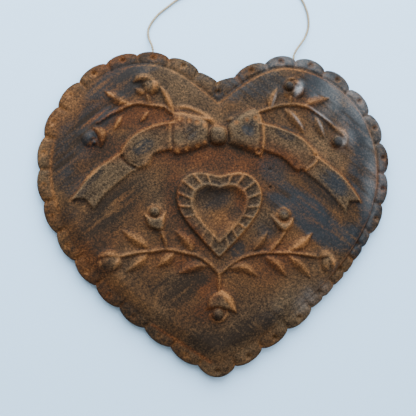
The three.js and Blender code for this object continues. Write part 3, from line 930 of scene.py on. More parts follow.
def flute_ribs(area):
    """The ribs across the border of the small heart, 1 on their crests."""
    ribs = np.zeros(X[area].shape)
    spokes = zip(heart_side(FLUTE_CONTROLS, FLUTE_RIBS + 1), heart_side(BOWL_CONTROLS, FLUTE_RIBS + 1))
    for end, start in list(spokes)[1:-1]:
        for mirror in ((1, 1), (-1, 1)):
            gap, _ = along_curve(np.array([start, end]) * mirror, area)
            ribs = np.maximum(ribs, bump(gap, FLUTE_RIB_WIDTH))
    return ribs


def draw_fluted_heart():
    """The small heart: a border of ribs between two ridges, round a bowl."""
    outer, inner = (heart_outline(controls, FLUTE_POINTS) for controls in (FLUTE_CONTROLS, BOWL_CONTROLS))
    area = around(outer, 2)
    from_outer = depth_inside(outer, area)
    from_inner = -depth_inside(inner, area)
    ribs = flute_ribs(area)
    edges = np.maximum(bump(from_outer - 0.45, FLUTE_RIDGE_WIDTH), bump(from_inner - 0.3, FLUTE_RIDGE_WIDTH))
    smooth = 0.75 * bump(distance_from(WORN_FLUTES, area), WORN_FLUTES_REACH)
    ridges = np.maximum(np.maximum(edges, 0.9 * ribs), smooth)
    border = FLUTE_RISE * ease(from_outer / 0.8) * (FLUTE_GROUND + (1 - FLUTE_GROUND) * ridges)
    raise_to(area, np.where(from_outer > 0, border, 0))
    between = ease(from_outer / 0.6) * ease(from_inner / 0.6 + 0.5)
    # Darker between the ribs. Painted light from the right: highlights on the right of the outer ridge and
    # the left of the inner ridge, shade on the left of the outer ridge
    rightness = ease(0.5 + X[area] / 16)
    mark(worn_and_shaded, area, 0.5 * (1 - ridges) * between)
    mark(worn_and_shaded, area, 0.4 * (1 - rightness) * bump(from_outer - 0.35, 0.5))
    mark(cloth, area, 0.8 * between)
    mark(thick_powder_and_highlight, area, 0.4 * ribs * between)
    mark(thick_powder_and_highlight, area, 0.8 * rightness * bump(from_outer - 0.35, 0.4))
    mark(thick_powder_and_highlight, area, 0.7 * (1 - rightness) * ease(0.7 - Y[area] / 10) * bump(from_inner - 0.1, 0.4))
    sunk = FLUTE_RISE - (FLUTE_RISE + BOWL_DEPTH) * rounded(-from_inner / BOWL_SLOPE)
    relief[area] = np.where(from_inner < 0, sunk, relief[area])


# Radius and depth of the pricked pits
LOOP_PIT_SIZE = (0.4, 0.18)
RING_PIT_SIZE = (0.6, 0.6)
PINHOLE_SIZE = (0.4, 0.7)


def draw_relief():
    """Every form of the relief, in the order in which they lie on each other."""
    for ribbon in RIBBONS:
        draw_ribbon(*ribbon)
    for fold in FOLDS:
        draw_ribbon(*fold, lift=FOLD_LIFT)
    for loop in LOOPS:
        draw_loop(*loop)
    draw_knot()
    for course in STEMS:
        draw_stem(course)
    for course in LEAVES:
        draw_leaf(course)
    for course in BRIGHT_LEAVES:
        draw_leaf(course, powder=BRIGHT_LEAF_POWDER)
    for leaf in OTHER_LEAVES:
        draw_leaf(*leaf)
    for cup in CUPS:
        draw_cup(*cup)
    for bud in BUDS:
        draw_bud(*bud)
    for ridge in RIDGES:
        draw_ridge(*ridge)
    draw_fluted_heart()
    raise_to(EVERYWHERE, FILLET_SHARE * blur(relief, FILLET_WIDTH))
    for *spot, _ in LOOP_PITS:
        draw_pit(spot, *LOOP_PIT_SIZE)
    draw_pit(RING_PIT, *RING_PIT_SIZE)
    mark(thick_powder_and_highlight, EVERYWHERE, 0.8 * bump(distance_from(place(RING_PIT)) - 0.9, 0.3))
    for spot in PINHOLES:
        draw_pit(spot, *PINHOLE_SIZE)


outline = rim_outline()
field_depth = depth_inside(heart_outline(FIELD_CONTROLS, FIELD_POINTS), EVERYWHERE)

# One dimple in each scallop, but a single one at the cleft
CLEFT_DIMPLE = (0.2, 75.8)
dimples = inset(outline, DIMPLE_INSET)[SCALLOP_STEPS // 2::SCALLOP_STEPS]
dimples = dimples[np.hypot(*(dimples - place(CLEFT_DIMPLE)).T) > 2 * CLEFT_SCALLOP_LENGTH]
dimples = np.vstack([dimples, place([CLEFT_DIMPLE])])
creases = np.zeros(X.shape)
# Dimples on the left below the first height are nearly filled with powder
# Others below the second height are nearly clean
FILLED_BELOW = 40
CLEAN_BELOW = -8
FILLED_RUST = 0.5
OPEN_RUST = 0.6
CLEAN_RUST = 0.15


def filled(x, y):
    """Whether a dimple is nearly filled with powder."""
    return x < 0 and y < FILLED_BELOW


def prick_rust(x, y):
    """How much rust clings round a dimple: least at the lower right, most at the top and the upper right."""
    if filled(x, y):
        return FILLED_RUST
    return OPEN_RUST if y > CLEAN_BELOW else CLEAN_RUST


def rim_height():
    """The rim's own surface: puffed scallops with creases between them, and pricked dimples."""
    height = np.full(X.shape, RIM_THICKNESS + PILLOW_RISE)
    rim = field_depth < 0.5
    coarse = outline[::2]
    from_edge, _ = along_curve(np.vstack([coarse, coarse[:1]]), rim)
    share = from_edge / (from_edge + np.maximum(-field_depth[rim], 0) + TINY)
    height[rim] = RIM_THICKNESS + PILLOW_RISE * np.sin(math.pi / 2 * limit(share * 1.5))
    deeper = inset(outline, CREASE_LENGTH)
    for i in range(0, len(outline), SCALLOP_STEPS):
        crease = np.array([outline[i], deeper[i]])
        area = around(crease, 1.5)
        gap, along = along_curve(crease, area)
        height[area] -= CREASE_DEPTH * bump(gap, CREASE_WIDTH) * (1 - along)
        mark(creases, area, bump(gap, 0.5) * (1 - along))
    for spot in dimples:
        area = around(spot, 3)
        depth = FILLED_DIMPLE_DEPTH if filled(*spot) else DIMPLE_DEPTH
        height[area] -= depth * bump(distance_from(spot, area), DIMPLE_RADIUS)
    return height


# The groove round the field is clear on the right, shallow at the top and nearly filled on the left
top_left_share = 0.6 * ease((Y - 5) / 25) * ease((X + 48) / 25)
right_side_share = 0.85 * ease((X + 5) / 45) * (0.35 + 0.65 * ease((Y + 30) / 25))
groove_share = limit(0.08 + top_left_share + right_side_share)
field_edge = bump(field_depth - 0.3, 0.33)

# Soft random clouds
NOISE_SEED = 7
CLOUD_SIZE = 1.6
random_source = np.random.default_rng(NOISE_SEED)
clouds = evened(blur(random_source.standard_normal(X.shape), CLOUD_SIZE))


def face_height():
    """Height of the whole face above the back."""
    draw_relief()
    crown = CROWN_RISE * limit(1 - (X / HALF_WIDTH) ** 2 - (Y / HALF_HEIGHT) ** 2)
    step = 0.5 * ease((field_depth + 0.2) / WALL_WIDTH) + 0.5 * rounded(field_depth / SHOULDER_WIDTH)
    wall = step * groove_share + ease((field_depth + 2) / 6) * (1 - groove_share)
    rim = rim_height() - GROOVE_CUT * groove_share * bump(field_depth + 0.3, 0.4)
    height = rim + (FIELD_HEIGHT + crown - rim) * wall + relief * ease(field_depth)
    height += BEAD_RISE * field_edge * groove_share + LUMP_HEIGHT * clouds
    return np.minimum(blur(height, CAST_SOFTNESS), HEART_TOP)


height_map = face_height()


def sample(grid, points):
    """Values of a grid at some points."""
    column = np.clip((points[:, 0] - xs[0]) / GRID_STEP, 0, len(xs) - 1.001)
    row = np.clip((points[:, 1] - ys[0]) / GRID_STEP, 0, len(ys) - 1.001)
    i, j = row.astype(int), column.astype(int)
    v, u = row - i, column - j
    low = grid[i, j] * (1 - u) + grid[i, j + 1] * u
    high = grid[i + 1, j] * (1 - u) + grid[i + 1, j + 1] * u
    return low * (1 - v) + high * v


BACK_SAG = 0.16
BACK_SAG_REACH = 14
BACK_RIPPLE = 0.035
RECESS_EDGE = 0.25
GROOVE_EDGE = 0.3


def back_height(points):
    """Height of the back: poured flat, sunk a little as it set, with a recess and a groove for each end."""
    from_rim = limit(sample(field_depth, points) / BACK_SAG_REACH)
    x, y = points.T
    ripple = np.sin(x / 3.1 + 1.3 * np.sin(y / 7)) + np.sin(y / 4.3 + 1.1 * np.sin(x / 6))
    height = ease(from_rim) * (BACK_SAG + BACK_RIPPLE * ripple)
    for exit_x in EXITS.values():
        across = np.abs(x - exit_x)
        past = y - np.clip(y, KNOT_Y, HINGE_Y - SEAL_SETBACK)
        recess = RECESS_DEPTH * ease((RECESS_RADIUS - np.hypot(across, past)) / RECESS_EDGE + 0.5)
        groove = GROOVE_DEPTH * ease((GROOVE_RADIUS - across) / GROOVE_EDGE + 0.5) * (y > KNOT_Y)
        height = np.maximum(height, np.maximum(recess, groove))
    return height


def fill(ring, spots):
    """Triangles over the inside of a ring through further spots. Points are the ring's, then the spots."""
    points = np.vstack([ring, spots])
    edges = [(i, (i + 1) % len(ring)) for i in range(len(ring))]
    found = delaunay_2d_cdt([Vector(point) for point in points], edges, [], 1, 1e-6)
    return points, found[2]


def spots_inside(ring, step, margin):
    """A net of spots of that step inside a ring, clear of it by a margin."""
    near = inset(ring, margin)
    far = np.roll(near, -1, axis=0)
    rows = []
    for number, y in enumerate(np.arange(-HALF_HEIGHT, HALF_HEIGHT, step * math.sqrt(3) / 2)):
        crossing = (near[:, 1] > y) != (far[:, 1] > y)
        a, b = near[crossing], far[crossing]
        hits = np.sort(a[:, 0] + (y - a[:, 1]) * (b[:, 0] - a[:, 0]) / (b[:, 1] - a[:, 1]))
        x = np.arange(-HALF_WIDTH, HALF_WIDTH, step) + step / 2 * (number % 2)
        x = x[np.searchsorted(hits, x) % 2 == 1]
        rows.append(np.column_stack([x, np.full(len(x), y)]))
    return np.vstack(rows)


EDGE_TURNS = 5
WALL_STEPS = 4
# How far from a twine end the back is meshed finely, and from where on coarsely
FINE_REACH = 3.2
COARSE_FROM = 3.6


def near_anchors(spots, reach):
    """Which spots lie within reach of a buried twine end."""
    near = np.zeros(len(spots), bool)
    for exit_x in EXITS.values():
        near |= (np.abs(spots[:, 0] - exit_x) < reach) & (spots[:, 1] > KNOT_Y - reach)
    return near


def wax_heart():
    """The casting as one closed mesh: its face, its rounded edge, its wall and its back."""
    inner = inset(outline, RIM_ROUNDING)
    top, top_faces = fill(inner, spots_inside(inner, MESH_STEP, MESH_STEP * 0.7))
    count = len(outline)
    crest = sample(height_map, inner)
    foot = back_height(outline)
    vertices = [np.column_stack([top, sample(height_map, top)])]
    for angle in np.linspace(math.pi / 2, 0, EDGE_TURNS + 1)[1:]:
        ring = inset(outline, RIM_ROUNDING * (1 - math.cos(angle)))
        vertices.append(np.column_stack([ring, crest - RIM_ROUNDING * (1 - math.sin(angle))]))
    for share in np.linspace(0, 1, WALL_STEPS + 1)[1:]:
        level = (crest - RIM_ROUNDING) * (1 - share) + foot * share
        vertices.append(np.column_stack([outline, np.maximum(level, foot)]))
    starts = [0, *(len(top) + count * np.arange(EDGE_TURNS + WALL_STEPS))]
    rings = [start + np.arange(count) for start in starts]
    front_count = starts[-1] + count
    coarse = spots_inside(outline, BACK_STEP, 1.0)
    fine = spots_inside(outline, ANCHOR_STEP, 0.25)
    back_spots = np.vstack([coarse[~near_anchors(coarse, COARSE_FROM)], fine[near_anchors(fine, FINE_REACH)]])
    _, back_faces = fill(outline, back_spots)
    vertices.append(np.column_stack([back_spots, back_height(back_spots)]))
    numbers = np.concatenate([rings[-1], front_count + np.arange(len(back_spots))])
    faces = [*top_faces]
    for upper, lower in zip(rings, rings[1:]):
        faces += [(upper[i], lower[i], lower[(i + 1) % count], upper[(i + 1) % count]) for i in range(count)]
    faces += [numbers[list(face)][::-1] for face in back_faces]
    piece = add_mesh("wax_casting", np.vstack(vertices), faces, "heart")
    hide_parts("wax_heart")
    return piece, front_count


casting, casting_front = wax_heart()

SEAL_POINTS = 72
SEAL_STEP = 0.5
SEAL_MARGIN = 0.3
# The size of a seal and of the two waves of its edge, as shares of its solid's half width
SEAL_FILL = 0.965
LONG_WAVE = 0.022
SHORT_WAVE = 0.013
# How deep its outer face is sunk and how high the lumps on it are, as shares of its rounding
SEAL_SINK = 0.35
SEAL_LUMPS = 0.25


def wax_seal(side, exit_x):
    """Wax dripped over a groove: a plate with a wavy edge and an uneven outer face."""
    low, high = in_millimetres(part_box(f"{side}_wax_seal"))
    radius = (high[0] - low[0]) / 2
    middle = (low + high)[:2] / 2
    turn = np.linspace(0, 2 * math.pi, SEAL_POINTS, endpoint=False)
    wavy = radius * (SEAL_FILL + LONG_WAVE * np.sin(3 * turn + exit_x) + SHORT_WAVE * np.sin(7 * turn))
    ring = middle + wavy[:, None] * np.column_stack([np.cos(turn), np.sin(turn)])
    ring[:, 1] += np.where(turn < math.pi, 1, -1) * ((high[1] - low[1]) / 2 - radius)
    flat = inset(ring, SEAL_ROUNDING)
    face, face_sides = fill(flat, spots_inside(flat, SEAL_STEP, SEAL_MARGIN))
    count = len(ring)
    from_middle = np.hypot(*((face - middle) / (high - low)[:2]).T) * 2
    lumps = np.sin(face[:, 0] * 2.3) * np.sin(face[:, 1] * 1.4 + exit_x)
    sunk = SEAL_ROUNDING * (SEAL_SINK + SEAL_LUMPS * lumps) * ease(1.4 - 1.4 * from_middle)
    vertices = [np.column_stack([face, low[2] + sunk])]
    for level in (low[2] + SEAL_ROUNDING, high[2]):
        vertices.append(np.column_stack([ring, np.full(count, level)]))
    rings = [start + np.arange(count) for start in (0, len(face), len(face) + count)]
    faces = [sides[::-1] for sides in face_sides]
    for lower, upper in zip(rings, rings[1:]):
        faces += [(lower[i], lower[(i + 1) % count], upper[(i + 1) % count], upper[i]) for i in range(count)]
    faces.append(rings[-1])
    piece = add_mesh(f"{side}_dripped_seal", np.vstack(vertices), faces, "heart")
    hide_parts(f"{side}_wax_seal")
    return piece


seals = [wax_seal(side, exit_x) for side, exit_x in EXITS.items()]


# Soft ovals where the wax is bare, powdered or red: place, half length, half width and turn
# Bare ones also have how much painted cool sheen their wax gets and how bare they are
BARE_PATCHES = [
    (-61.6, 78.4, 8, 2.8, 37, 0.5, 1), (-75, 53.4, 8, 2.4, 72, 0.4, 1), (-86, 30, 4.5, 9, 0, 0.5, 0.9),
    (-79, 18, 5, 6, 20, 0.4, 0.65), (-70, 23.5, 4.5, 2, 45, 0.2, 1), (-59, 3, 14, 4.6, 42, 0, 0.9),
    (-42.4, 40.6, 3.4, 2, 30, 0.5, 1), (-16, 49.5, 3, 2.8, 0, 0.5, 0.55),
    (0.6, 46.4, 1.8, 1.8, 0, 0, 0.4), (-72.4, 45.3, 2.8, 3, 0, 0.8, 1.1),
    (-80, 44, 5, 8, 20, 0.5, 0.65), (-66, 36, 8, 5, 40, 0.1, 0.5), (-44, -63, 19, 3.2, -39, 0.2, 0.55),
    (12, 48, 6, 5, 0, 0.1, 0.35), (-44.5, 79, 1.3, 1.3, 0, 0.5, 0.8), (-54, 81, 7, 4.6, 37, 0.35, 1.7),
    (-1, 30, 6, 3, 0, 0, 0.35), (-37, -40, 5, 4, 0, 0, 0.4), (-83, 0, 4, 4, 0, 0.3, 0.5),
    (8, 60, 4, 2.2, 35, 0, 0.6), (-46, 89, 6, 3.6, 25, 0.5, 0.85), (-36, 91, 5, 2.6, 8, 0.4, 0.65),
    (9, 1, 3, 3, 0, 0, 0.5), (-29, 10, 4, 7, 0, 0, 0.5), (-38, 10, 5, 4, 0, 0, 0.4),
    # The second oval on the next line paints the shade along the lower edge of the right ribbon
    (55, 1, 5, 3, -42, 1, 1.6), (58, 15, 9, 2.4, -42, 0.1, 0.75), (-65, -18, 5, 4, 40, 0, 0.55),
    (-65, 60, 5, 4, 40, 0.7, 0.75), (27, 91, 5, 2.6, 12, 0.7, 0.55), (27, -8, 4, 4, 0, 0.4, 0.6),
    (-54, -19, 4, 3, 0, 0, 0.4), (40.1, 79.6, 1.6, 1.7, 0, 0.5, 0.55),
    (67.8, 46.2, 1.9, 1.9, 0, 0.8, 0.7), (-61, -30.2, 1.6, 1.6, 0, 0.3, 0.55),
    (-22, -46, 7, 4.4, 35, 0, 0.9), (-7, -76.8, 6.5, 3.8, 0, 0, 1), (15, -70.5, 13, 3.2, 27, 0, 0.95),
    (-10.4, -39, 3, 2, 0, 0, 1), (0, -63, 26, 9, 8, 0, 0.45), (-30, -10, 8, 6, 40, 0, 0.5),
    (10.4, -21, 2.8, 2, 40, 0.3, 1), (45, -50, 12, 6, 35, 1, 0.3), (-3, 11, 5.5, 4, 0, 0.3, 0.8),
    (16.4, 53, 2.3, 2.6, 0, 0.8, 1), (36.5, 7.6, 6, 3.2, -20, 0.9, 1), (0.3, 75, 2.2, 2.6, 0, 0.5, 1),
    (-10, 88, 8, 3.5, -30, 0.6, 0.45), (9, 83, 6, 3, 30, 0.7, 0.6), (37.7, 50.7, 4, 2, -25, 0.3, 1),
    (31, 26, 6, 5, -30, 0.6, 0.6), (22, 79, 12, 5, 12, 0.6, 0.75), (58, 80, 7, 4.6, -20, 1, 1),
    (72, 70, 11, 6, -50, 1, 0.8), (62, 62, 7, 6, 0, 0.7, 0.5), (82, 48, 13, 3.8, -75, 1, 1),
    (81, 25, 4.6, 9, 0, 1, 0.75), (66, 20, 5.8, 3.4, -45, 1, 0.8), (53, -1, 14, 4.8, -42, 0.9, 1.3),
    (78, -14, 4.5, 6, 30, 1, 1), (86, 6, 3.6, 10, 0, 1, 0.9),
]
POWDER_PATCHES = [
    (-86.6, 65, 9, 4.5, 60), (67, 35.7, 5.5, 2.8, -45), (43, -19, 7, 3.2, 0), (1.5, -4, 4.2, 2.8, 0),
    (-1, -51, 5.5, 5.5, 0), (-38, -21, 11, 5.5, 0), (-90, 14, 2.5, 9, 0), (37.7, -2, 3, 4, 0),
    (-30, 3, 2.5, 4, 0), (-37, 60, 5, 2.6, 0), (-97, 35, 3, 9, 0), (-39.4, 31.5, 2.2, 1.8, 0),
    (-32.8, 38.8, 1.3, 1, 0),
]
RED_PATCHES = [
    (7, 34, 22, 4, 0), (-25, 12, 3, 9, 0), (-16, -10, 2.6, 8, 40), (-6, -44, 4, 4, 0),
    (-38, 58, 12, 4, 0), (-63, 39, 6, 4, 0), (38, 34, 8, 3, -30), (-19, -30, 4, 3, 0),
    (-8, -59, 3, 3, 0), (12.5, 9, 2, 4.5, 0),
]
# Where the powder is greyer
GREY_PATCHES = [
    (-25, 78, 13, 6, -30), (-8, 87, 8, 4, -30), (45, -52, 10, 6, 35), (-68, 18, 6, 3, 45),
]
# Painted highlights on crests of the sprigs, each with its strength, and painted sheen on flat wax
CREST_HIGHLIGHTS = [
    (45.6, 78.4, 2.1, 1.1, 65, 0.6), (71.6, 46, 1.6, 0.8, 75, 0.22), (31.6, 72, 2.2, 0.4, 70, 0.25),
    (44.9, 58.4, 2.6, 0.4, -52, 0.25), (58.2, 55.2, 2.4, 0.4, -65, 0.25), (58.4, 62.4, 4, 0.35, -34, 0.3),
]
FLAT_SHEEN = [
    (88, 30, 2.4, 15, 0), (82, 62, 3, 9, 35), (64, 74, 4.5, 5, 0), (73, 50, 3, 6, 0), (54, -50, 6, 3, 35),
]
# How strong the painted sheen is on the flat field and on the right rim
FIELD_SHEEN = 0.2
RIM_SHEEN = 0.17
STREAK_SIZE = (3.2, 0.28)
STREAK_TURN = 38
# How much weaker the streaks are on the right
STREAK_FADE = 0.45
DRIFT_SIZE = 3.5
# The direction the light comes from, up the face; slopes turned to it get painted light
LIGHT_FROM = (0.45, 0.89)
PIT_POWDER_WIDTH = 0.62
# How powdered the plain face and back are
PLAIN_POWDER = 0.47
BACK_POWDER = 0.36
# The rust along the left edge of the field lies between these heights
LEFT_LINE_SPAN = (-2, 26)


def oval(x, y, half_length, half_width, degrees):
    """A soft oval on the grid, 1 in its middle."""
    spot = place((x, y))
    along, across = turned(X - spot[0], Y - spot[1], degrees)
    reach = (along / half_length) ** 2 + (across / half_width) ** 2
    return np.exp(-0.8 * reach ** 1.5)


def patches(ovals):
    """Soft ovals together, at most 1."""
    return np.max([oval(*shape) for shape in ovals], axis=0)


def rubbed_streaks():
    """Random values drawn out into streaks that rise towards the middle on both sides."""
    grains = random_source.standard_normal(X.shape)
    right_share = ease(X / 20 + 0.5)
    left, right = (evened(smear(grains, *STREAK_SIZE, degrees)) for degrees in (STREAK_TURN, -STREAK_TURN))
    return (left * (1 - right_share) + right * right_share) * (1 - STREAK_FADE * right_share)


def rust_map():
    """Rust in the groove and the creases, round the dimples and along the left edge of the field."""
    pricks = sum(prick_rust(*spot) * bump(distance_from(spot) - DIMPLE_RADIUS, 0.4) for spot in dimples)
    low, high = LEFT_LINE_SPAN
    left_line = bump(field_depth, 0.5) * ease(-X / 10) * ease((Y - low) / 6) * ease((high - Y) / 8)
    return limit(field_edge * groove_share + pricks + 0.6 * creases + 0.7 * left_line)


def finish_maps():
    """How powdered, red and cloth-like each place on the face is, and where cool sheen, sheen, highlights and
    shade are painted on it.
    """
    streaks = rubbed_streaks()
    drift = np.clip(evened(blur(random_source.standard_normal(X.shape), DRIFT_SIZE)), -1, 1)
    forms = blur(relief, 0.2)
    # Powder heaped on crests also paints their highlights; hollows turn red
    edges = np.clip((forms - blur(relief, 0.7)) / 0.2, -1, 1)
    # Painted light and shade: slopes turned to the light get more powder, slopes turned away get redder
    slope_y, slope_x = np.gradient(forms, GRID_STEP)
    light_facing = np.clip(-(slope_x * LIGHT_FROM[0] + slope_y * LIGHT_FROM[1]) / 0.9, -1, 1)
    ovals = [(strength * oval(*shape), cool_sheen) for *shape, cool_sheen, strength in BARE_PATCHES]
    soft = np.max([amount for amount, _ in ovals], axis=0)
    sheen_tint = np.max([amount * cool_sheen for amount, cool_sheen in ovals], axis=0) / np.maximum(soft, 0.05)
    # Painted cool sheen on the right rim, which also loses powder there
    right_rim_sheen = ease(-field_depth / 1.2) * ease((X - 2) / 20) * ease((Y + 12) / 15) * ease(0.8 + 0.4 * clouds)
    bare = ease((soft * (1 + 0.8 * streaks + 0.45 * clouds) - 0.1) / 0.8)
    bare = np.maximum(bare, 0.7 * right_rim_sheen) * (1 - 0.5 * limit(thick_powder_and_highlight))
    dots = np.zeros(X.shape)
    for *spot, amount in LOOP_PITS:
        mark(dots, EVERYWHERE, amount * bump(distance_from(place(spot)), PIT_POWDER_WIDTH))
    from_streak, _ = along_curve(smooth_curve(place(EDGE_STREAK), BAND_POINTS), EVERYWHERE)
    streak = bump(from_streak, 0.6)
    rust = rust_map()
    reddened = patches(RED_PATCHES)
    grey = patches(GREY_PATCHES)
    # The powder takes in the painted highlights and the painted light on slopes; the red takes in the painted
    # shade on slopes turned away
    powder = (PLAIN_POWDER + 0.14 * edges + 0.1 * np.maximum(light_facing, -0.3) + 0.12 * patches(POWDER_PATCHES)
              - 0.3 * bare - 0.26 * worn_and_shaded + 0.34 * thick_powder_and_highlight + dots + 0.4 * rust + 0.16 * streak - 0.05 * reddened
              + (0.06 + 0.3 * np.minimum(soft, 2 - soft)) * streaks + 0.1 * clouds)
    red = (reddened + 0.5 * limit(-edges) + 0.6 * rust + 0.3 * limit(-light_facing) + 2 * dots
           + streak + 0.75 * limit(drift) - 0.6 * grey)
    greyed = cloth + 0.85 * limit(-drift) + 0.7 * grey
    # Painted sheen on flat wax and the right rim, and painted highlights on crests
    painted_sheen = np.maximum(FIELD_SHEEN * patches(FLAT_SHEEN), RIM_SHEEN * right_rim_sheen)
    crest_highlights = np.max([strength * oval(*shape) for *shape, strength in CREST_HIGHLIGHTS], axis=0)
    bloom_and_sheen = painted_sheen * ease(0.6 + 0.4 * clouds + 0.3 * streaks) + crest_highlights
    shares = {"cool_sheen": np.maximum(bare * sheen_tint, right_rim_sheen), "red": red, "cloth": greyed, "bloom_and_sheen": bloom_and_sheen}
    return {"powder": powder, **{name: limit(grid) for name, grid in shares.items()}}


def back_maps():
    """The same for the back: bare poured wax, clouded with bloom, with powder near its edge."""
    near_edge = 1 - ease(limit(field_depth / BACK_SAG_REACH))
    broad = evened(blur(clouds, 5))
    # A little painted cool sheen in patches on the back
    shares = {"cool_sheen": 0.2 + 0.3 * broad, "red": 0.15 - 0.3 * broad, "cloth": 0.4 + 0.5 * broad,
              "bloom_and_sheen": 0.03 + 0.03 * broad + 0.02 * clouds}
    powder = BACK_POWDER + 0.12 * near_edge + 0.14 * clouds + 0.08 * broad
    return {"powder": powder, **{name: limit(grid) for name, grid in shares.items()}}


def store_maps(piece, maps, under_maps, front_count):
    """Keeps each map's value on every point of a piece, from one set for its front and one for its back."""
    points = np.empty(len(piece.data.vertices) * 3)
    piece.data.vertices.foreach_get("co", points)
    spots = points.reshape(-1, 3)[:, :2] / MM
    for name, grid in maps.items():
        values = sample(grid, spots)
        values[front_count:] = sample(under_maps[name], spots[front_count:])
        layer = piece.data.attributes.new(name, "FLOAT", "POINT")
        layer.data.foreach_set("value", values.astype(np.float32))


store_maps(casting, finish_maps(), back_maps(), casting_front)


# Materials
def new_material(name):
    """A material with its node tree and its shader."""
    material = bpy.data.materials.new(name)
    material.use_nodes = True
    return material, material.node_tree, material.node_tree.nodes["Principled BSDF"]


def add_node(tree, kind, inputs, **settings):
    """A node with its settings, and with each input either linked or set."""
    node = tree.nodes.new(kind)
    for name, value in settings.items():
        setattr(node, name, value)
    for name, value in inputs.items():
        if isinstance(value, bpy.types.NodeSocket):
            tree.links.new(value, node.inputs[name])
        else:
            node.inputs[name].default_value = value
    return node


def noise(tree, scale, detail):
    """Noise that is fixed to the piece."""
    spot = add_node(tree, "ShaderNodeTexCoord", {}).outputs["Object"]
    inputs = {"Vector": spot, "Scale": scale, "Detail": detail}
    return add_node(tree, "ShaderNodeTexNoise", inputs).outputs["Fac"]


def calculate(tree, operation, a, b):
    """Two values added, taken away or multiplied."""
    return add_node(tree, "ShaderNodeMath", {0: a, 1: b}, operation=operation).outputs[0]


def blend_colours(tree, share, a, b):
    """A blend from one colour to another."""
    return add_node(tree, "ShaderNodeMix", {0: share, 6: a, 7: b}, data_type="RGBA").outputs[2]


def smooth_range(tree, value, low, high, start=0.0, end=1.0):
    """A smooth change from start to end while a value goes from low to high."""
    inputs = {"Value": value, "From Min": low, "From Max": high, "To Min": start, "To Max": end}
    return add_node(tree, "ShaderNodeMapRange", inputs, interpolation_type="SMOOTHSTEP").outputs["Result"]


def kept(tree, name):
    """One of the maps that are kept on the piece's points."""
    return add_node(tree, "ShaderNodeAttribute", {}, attribute_name=name).outputs["Fac"]


def link_surface(tree, shader, colour, height, strength, depth):
    """Links a colour to the shader, and a bump of that strength and depth in metres."""
    tree.links.new(colour, shader.inputs["Base Color"])
    rough = add_node(tree, "ShaderNodeBump", {"Height": height, "Strength": strength, "Distance": depth})
    tree.links.new(rough.outputs["Normal"], shader.inputs["Normal"])


def dress(pieces, material):
    """Gives pieces their material."""
    for piece in pieces:
        piece.data.materials.append(material)


DARK_WAX = (0.0145, 0.0088, 0.0052, 1)
# Bare wax with a painted cool sky reflection
BLUE_SHEEN_WAX = (0.0118, 0.0138, 0.0165, 1)
BROWN_POWDER = (0.056, 0.0258, 0.0096, 1)
CLOTH_POWDER = (0.064, 0.0398, 0.0205, 1)
BRIGHT_POWDER = (0.152, 0.065, 0.022, 1)
RED_POWDER = (0.058, 0.0192, 0.0062, 1)
# Painted sheen and highlights on the face, bloom on the back
PALE_BLOOM_AND_SHEEN = (0.2, 0.21, 0.22, 1)
GRAIN_SCALE = 2600
SPECKLE_SCALE = 1500
WAX_SPECULAR = 0.09
POWDER_ROUGHNESS = 0.72
COOL_ROUGHNESS = 0.45
# The bump of each finish: its strength and its depth in metres
WAX_BUMP = (0.35, 0.00012)
SEAL_BUMP = (0.3, 0.0002)
TWINE_BUMP = (0.5, 0.00006)


def wax_material():
    """Dark beeswax with rust powder that clings to its edges and is rubbed off its flats, with painted cool
    sheen, pale sheen and highlights on it.
    """
    material, tree, shader = new_material("powdered_beeswax")
    grain = calculate(tree, "MULTIPLY", noise(tree, GRAIN_SCALE, 3.0), 0.6)
    speckle = calculate(tree, "MULTIPLY", noise(tree, SPECKLE_SCALE, 2.0), 0.5)
    scatter = calculate(tree, "ADD", grain, speckle)
    amount = calculate(tree, "ADD", kept(tree, "powder"), calculate(tree, "SUBTRACT", scatter, 0.55))
    # Bare wax is tinted blue as a painted cool sky reflection
    cool_sheen = kept(tree, "cool_sheen")
    wax = blend_colours(tree, cool_sheen, DARK_WAX, BLUE_SHEEN_WAX)
    plain = blend_colours(tree, kept(tree, "cloth"), BROWN_POWDER, CLOTH_POWDER)
    brown = blend_colours(tree, kept(tree, "red"), plain, RED_POWDER)
    powder = blend_colours(tree, smooth_range(tree, amount, 0.5, 1.05), brown, BRIGHT_POWDER)
    colour = blend_colours(tree, smooth_range(tree, amount, 0.15, 0.65), wax, powder)
    # Pale painted sheen and highlights on the face, and bloom on the back
    sheened = blend_colours(tree, kept(tree, "bloom_and_sheen"), colour, PALE_BLOOM_AND_SHEEN)
    tone = smooth_range(tree, scatter, 0.35, 0.75, 0.66, 1.28)
    grained = add_node(tree, "ShaderNodeVectorMath", {0: sheened, "Scale": tone}, operation="SCALE").outputs[0]
    link_surface(tree, shader, grained, scatter, *WAX_BUMP)
    roughness = smooth_range(tree, cool_sheen, 0.0, 1.0, POWDER_ROUGHNESS, COOL_ROUGHNESS)
    tree.links.new(roughness, shader.inputs["Roughness"])
    shader.inputs["Specular IOR Level"].default_value = WAX_SPECULAR
    return material


SEAL_DARK = (0.02, 0.012, 0.0075, 1)
SEAL_PALE = (0.075, 0.043, 0.024, 1)
DRIP_SCALE = 700


def seal_material():
    """Dripped wax, satin, clouded with bloom."""
    material, tree, shader = new_material("dripped_wax")
    bloom_and_sheen = noise(tree, DRIP_SCALE, 4.0)
    colour = blend_colours(tree, smooth_range(tree, bloom_and_sheen, 0.3, 0.75), SEAL_DARK, SEAL_PALE)
    link_surface(tree, shader, colour, bloom_and_sheen, *SEAL_BUMP)
    tree.links.new(smooth_range(tree, bloom_and_sheen, 0.3, 0.7, 0.38, 0.6), shader.inputs["Roughness"])
    return material


TWINE_DARK = (0.17, 0.125, 0.075, 1)
TWINE_LIGHT = (0.4, 0.325, 0.22, 1)
FIBRE_SCALE = 3500
TWINE_ROUGHNESS = 0.92


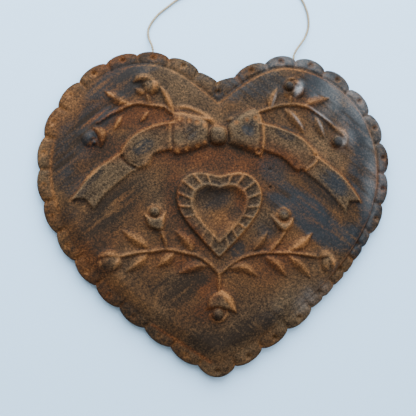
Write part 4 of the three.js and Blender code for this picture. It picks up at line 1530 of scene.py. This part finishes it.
def twine_material():
    """Dry natural fibre, paler on its loose hairs."""
    material, tree, shader = new_material("natural_twine")
    fibres = noise(tree, FIBRE_SCALE, 4.0)
    colour = blend_colours(tree, smooth_range(tree, fibres, 0.3, 0.7), TWINE_DARK, TWINE_LIGHT)
    link_surface(tree, shader, colour, fibres, *TWINE_BUMP)
    shader.inputs["Roughness"].default_value = TWINE_ROUGHNESS
    return material


dress([casting], wax_material())
dress(seals, seal_material())
dress(twine_pieces, twine_material())


# The floor and the light, with lengths in metres
FLOOR_REACH = 1.5
FLOOR_HEIGHT = -0.00005
FLOOR_COLOUR = (0.47, 0.69, 0.93, 1)
FLOOR_ROUGHNESS = 0.9
SKY_COLOUR = (1, 0.96, 0.91, 1)
SKY_STRENGTH = 0.55
# Lights with their place, size, power and colour
LIGHTS = [
    ("window", (0.2, 0.32, 0.45), 1.0, 7.0, (0.86, 0.94, 1)),
    ("wash", (-0.05, 0.32, 0.26), 0.6, 7.2, (0.82, 0.93, 1)),
]


def add_floor():
    """A plain pale floor just under the heart."""
    mesh = bpy.data.meshes.new("floor")
    sides = [(-1, -1), (1, -1), (1, 1), (-1, 1)]
    corners = [(x * FLOOR_REACH, y * FLOOR_REACH, FLOOR_HEIGHT) for x, y in sides]
    mesh.from_pydata(corners, [], [(0, 1, 2, 3)])
    floor = add_object("floor", mesh)
    material, _, shader = new_material("floor")
    shader.inputs["Base Color"].default_value = FLOOR_COLOUR
    shader.inputs["Roughness"].default_value = FLOOR_ROUGHNESS
    dress([floor], material)


def add_light(name, spot, size, power, colour):
    """A round soft light that is turned to the heart."""
    data = bpy.data.lights.new(name, "AREA")
    data.shape = "DISK"
    data.size = size
    data.energy = power
    data.color = colour
    light = add_object(name, data)
    light.location = spot
    light.rotation_mode = "QUATERNION"
    light.rotation_quaternion = (-Vector(spot)).to_track_quat("-Z", "Y")
    light.visible_camera = False


def add_world():
    """Even light from all round."""
    world = bpy.data.worlds.new("sky")
    world.use_nodes = True
    shader = world.node_tree.nodes["Background"]
    shader.inputs["Color"].default_value = SKY_COLOUR
    shader.inputs["Strength"].default_value = SKY_STRENGTH
    bpy.context.scene.world = world


add_floor()
add_world()
for light in LIGHTS:
    add_light(*light)
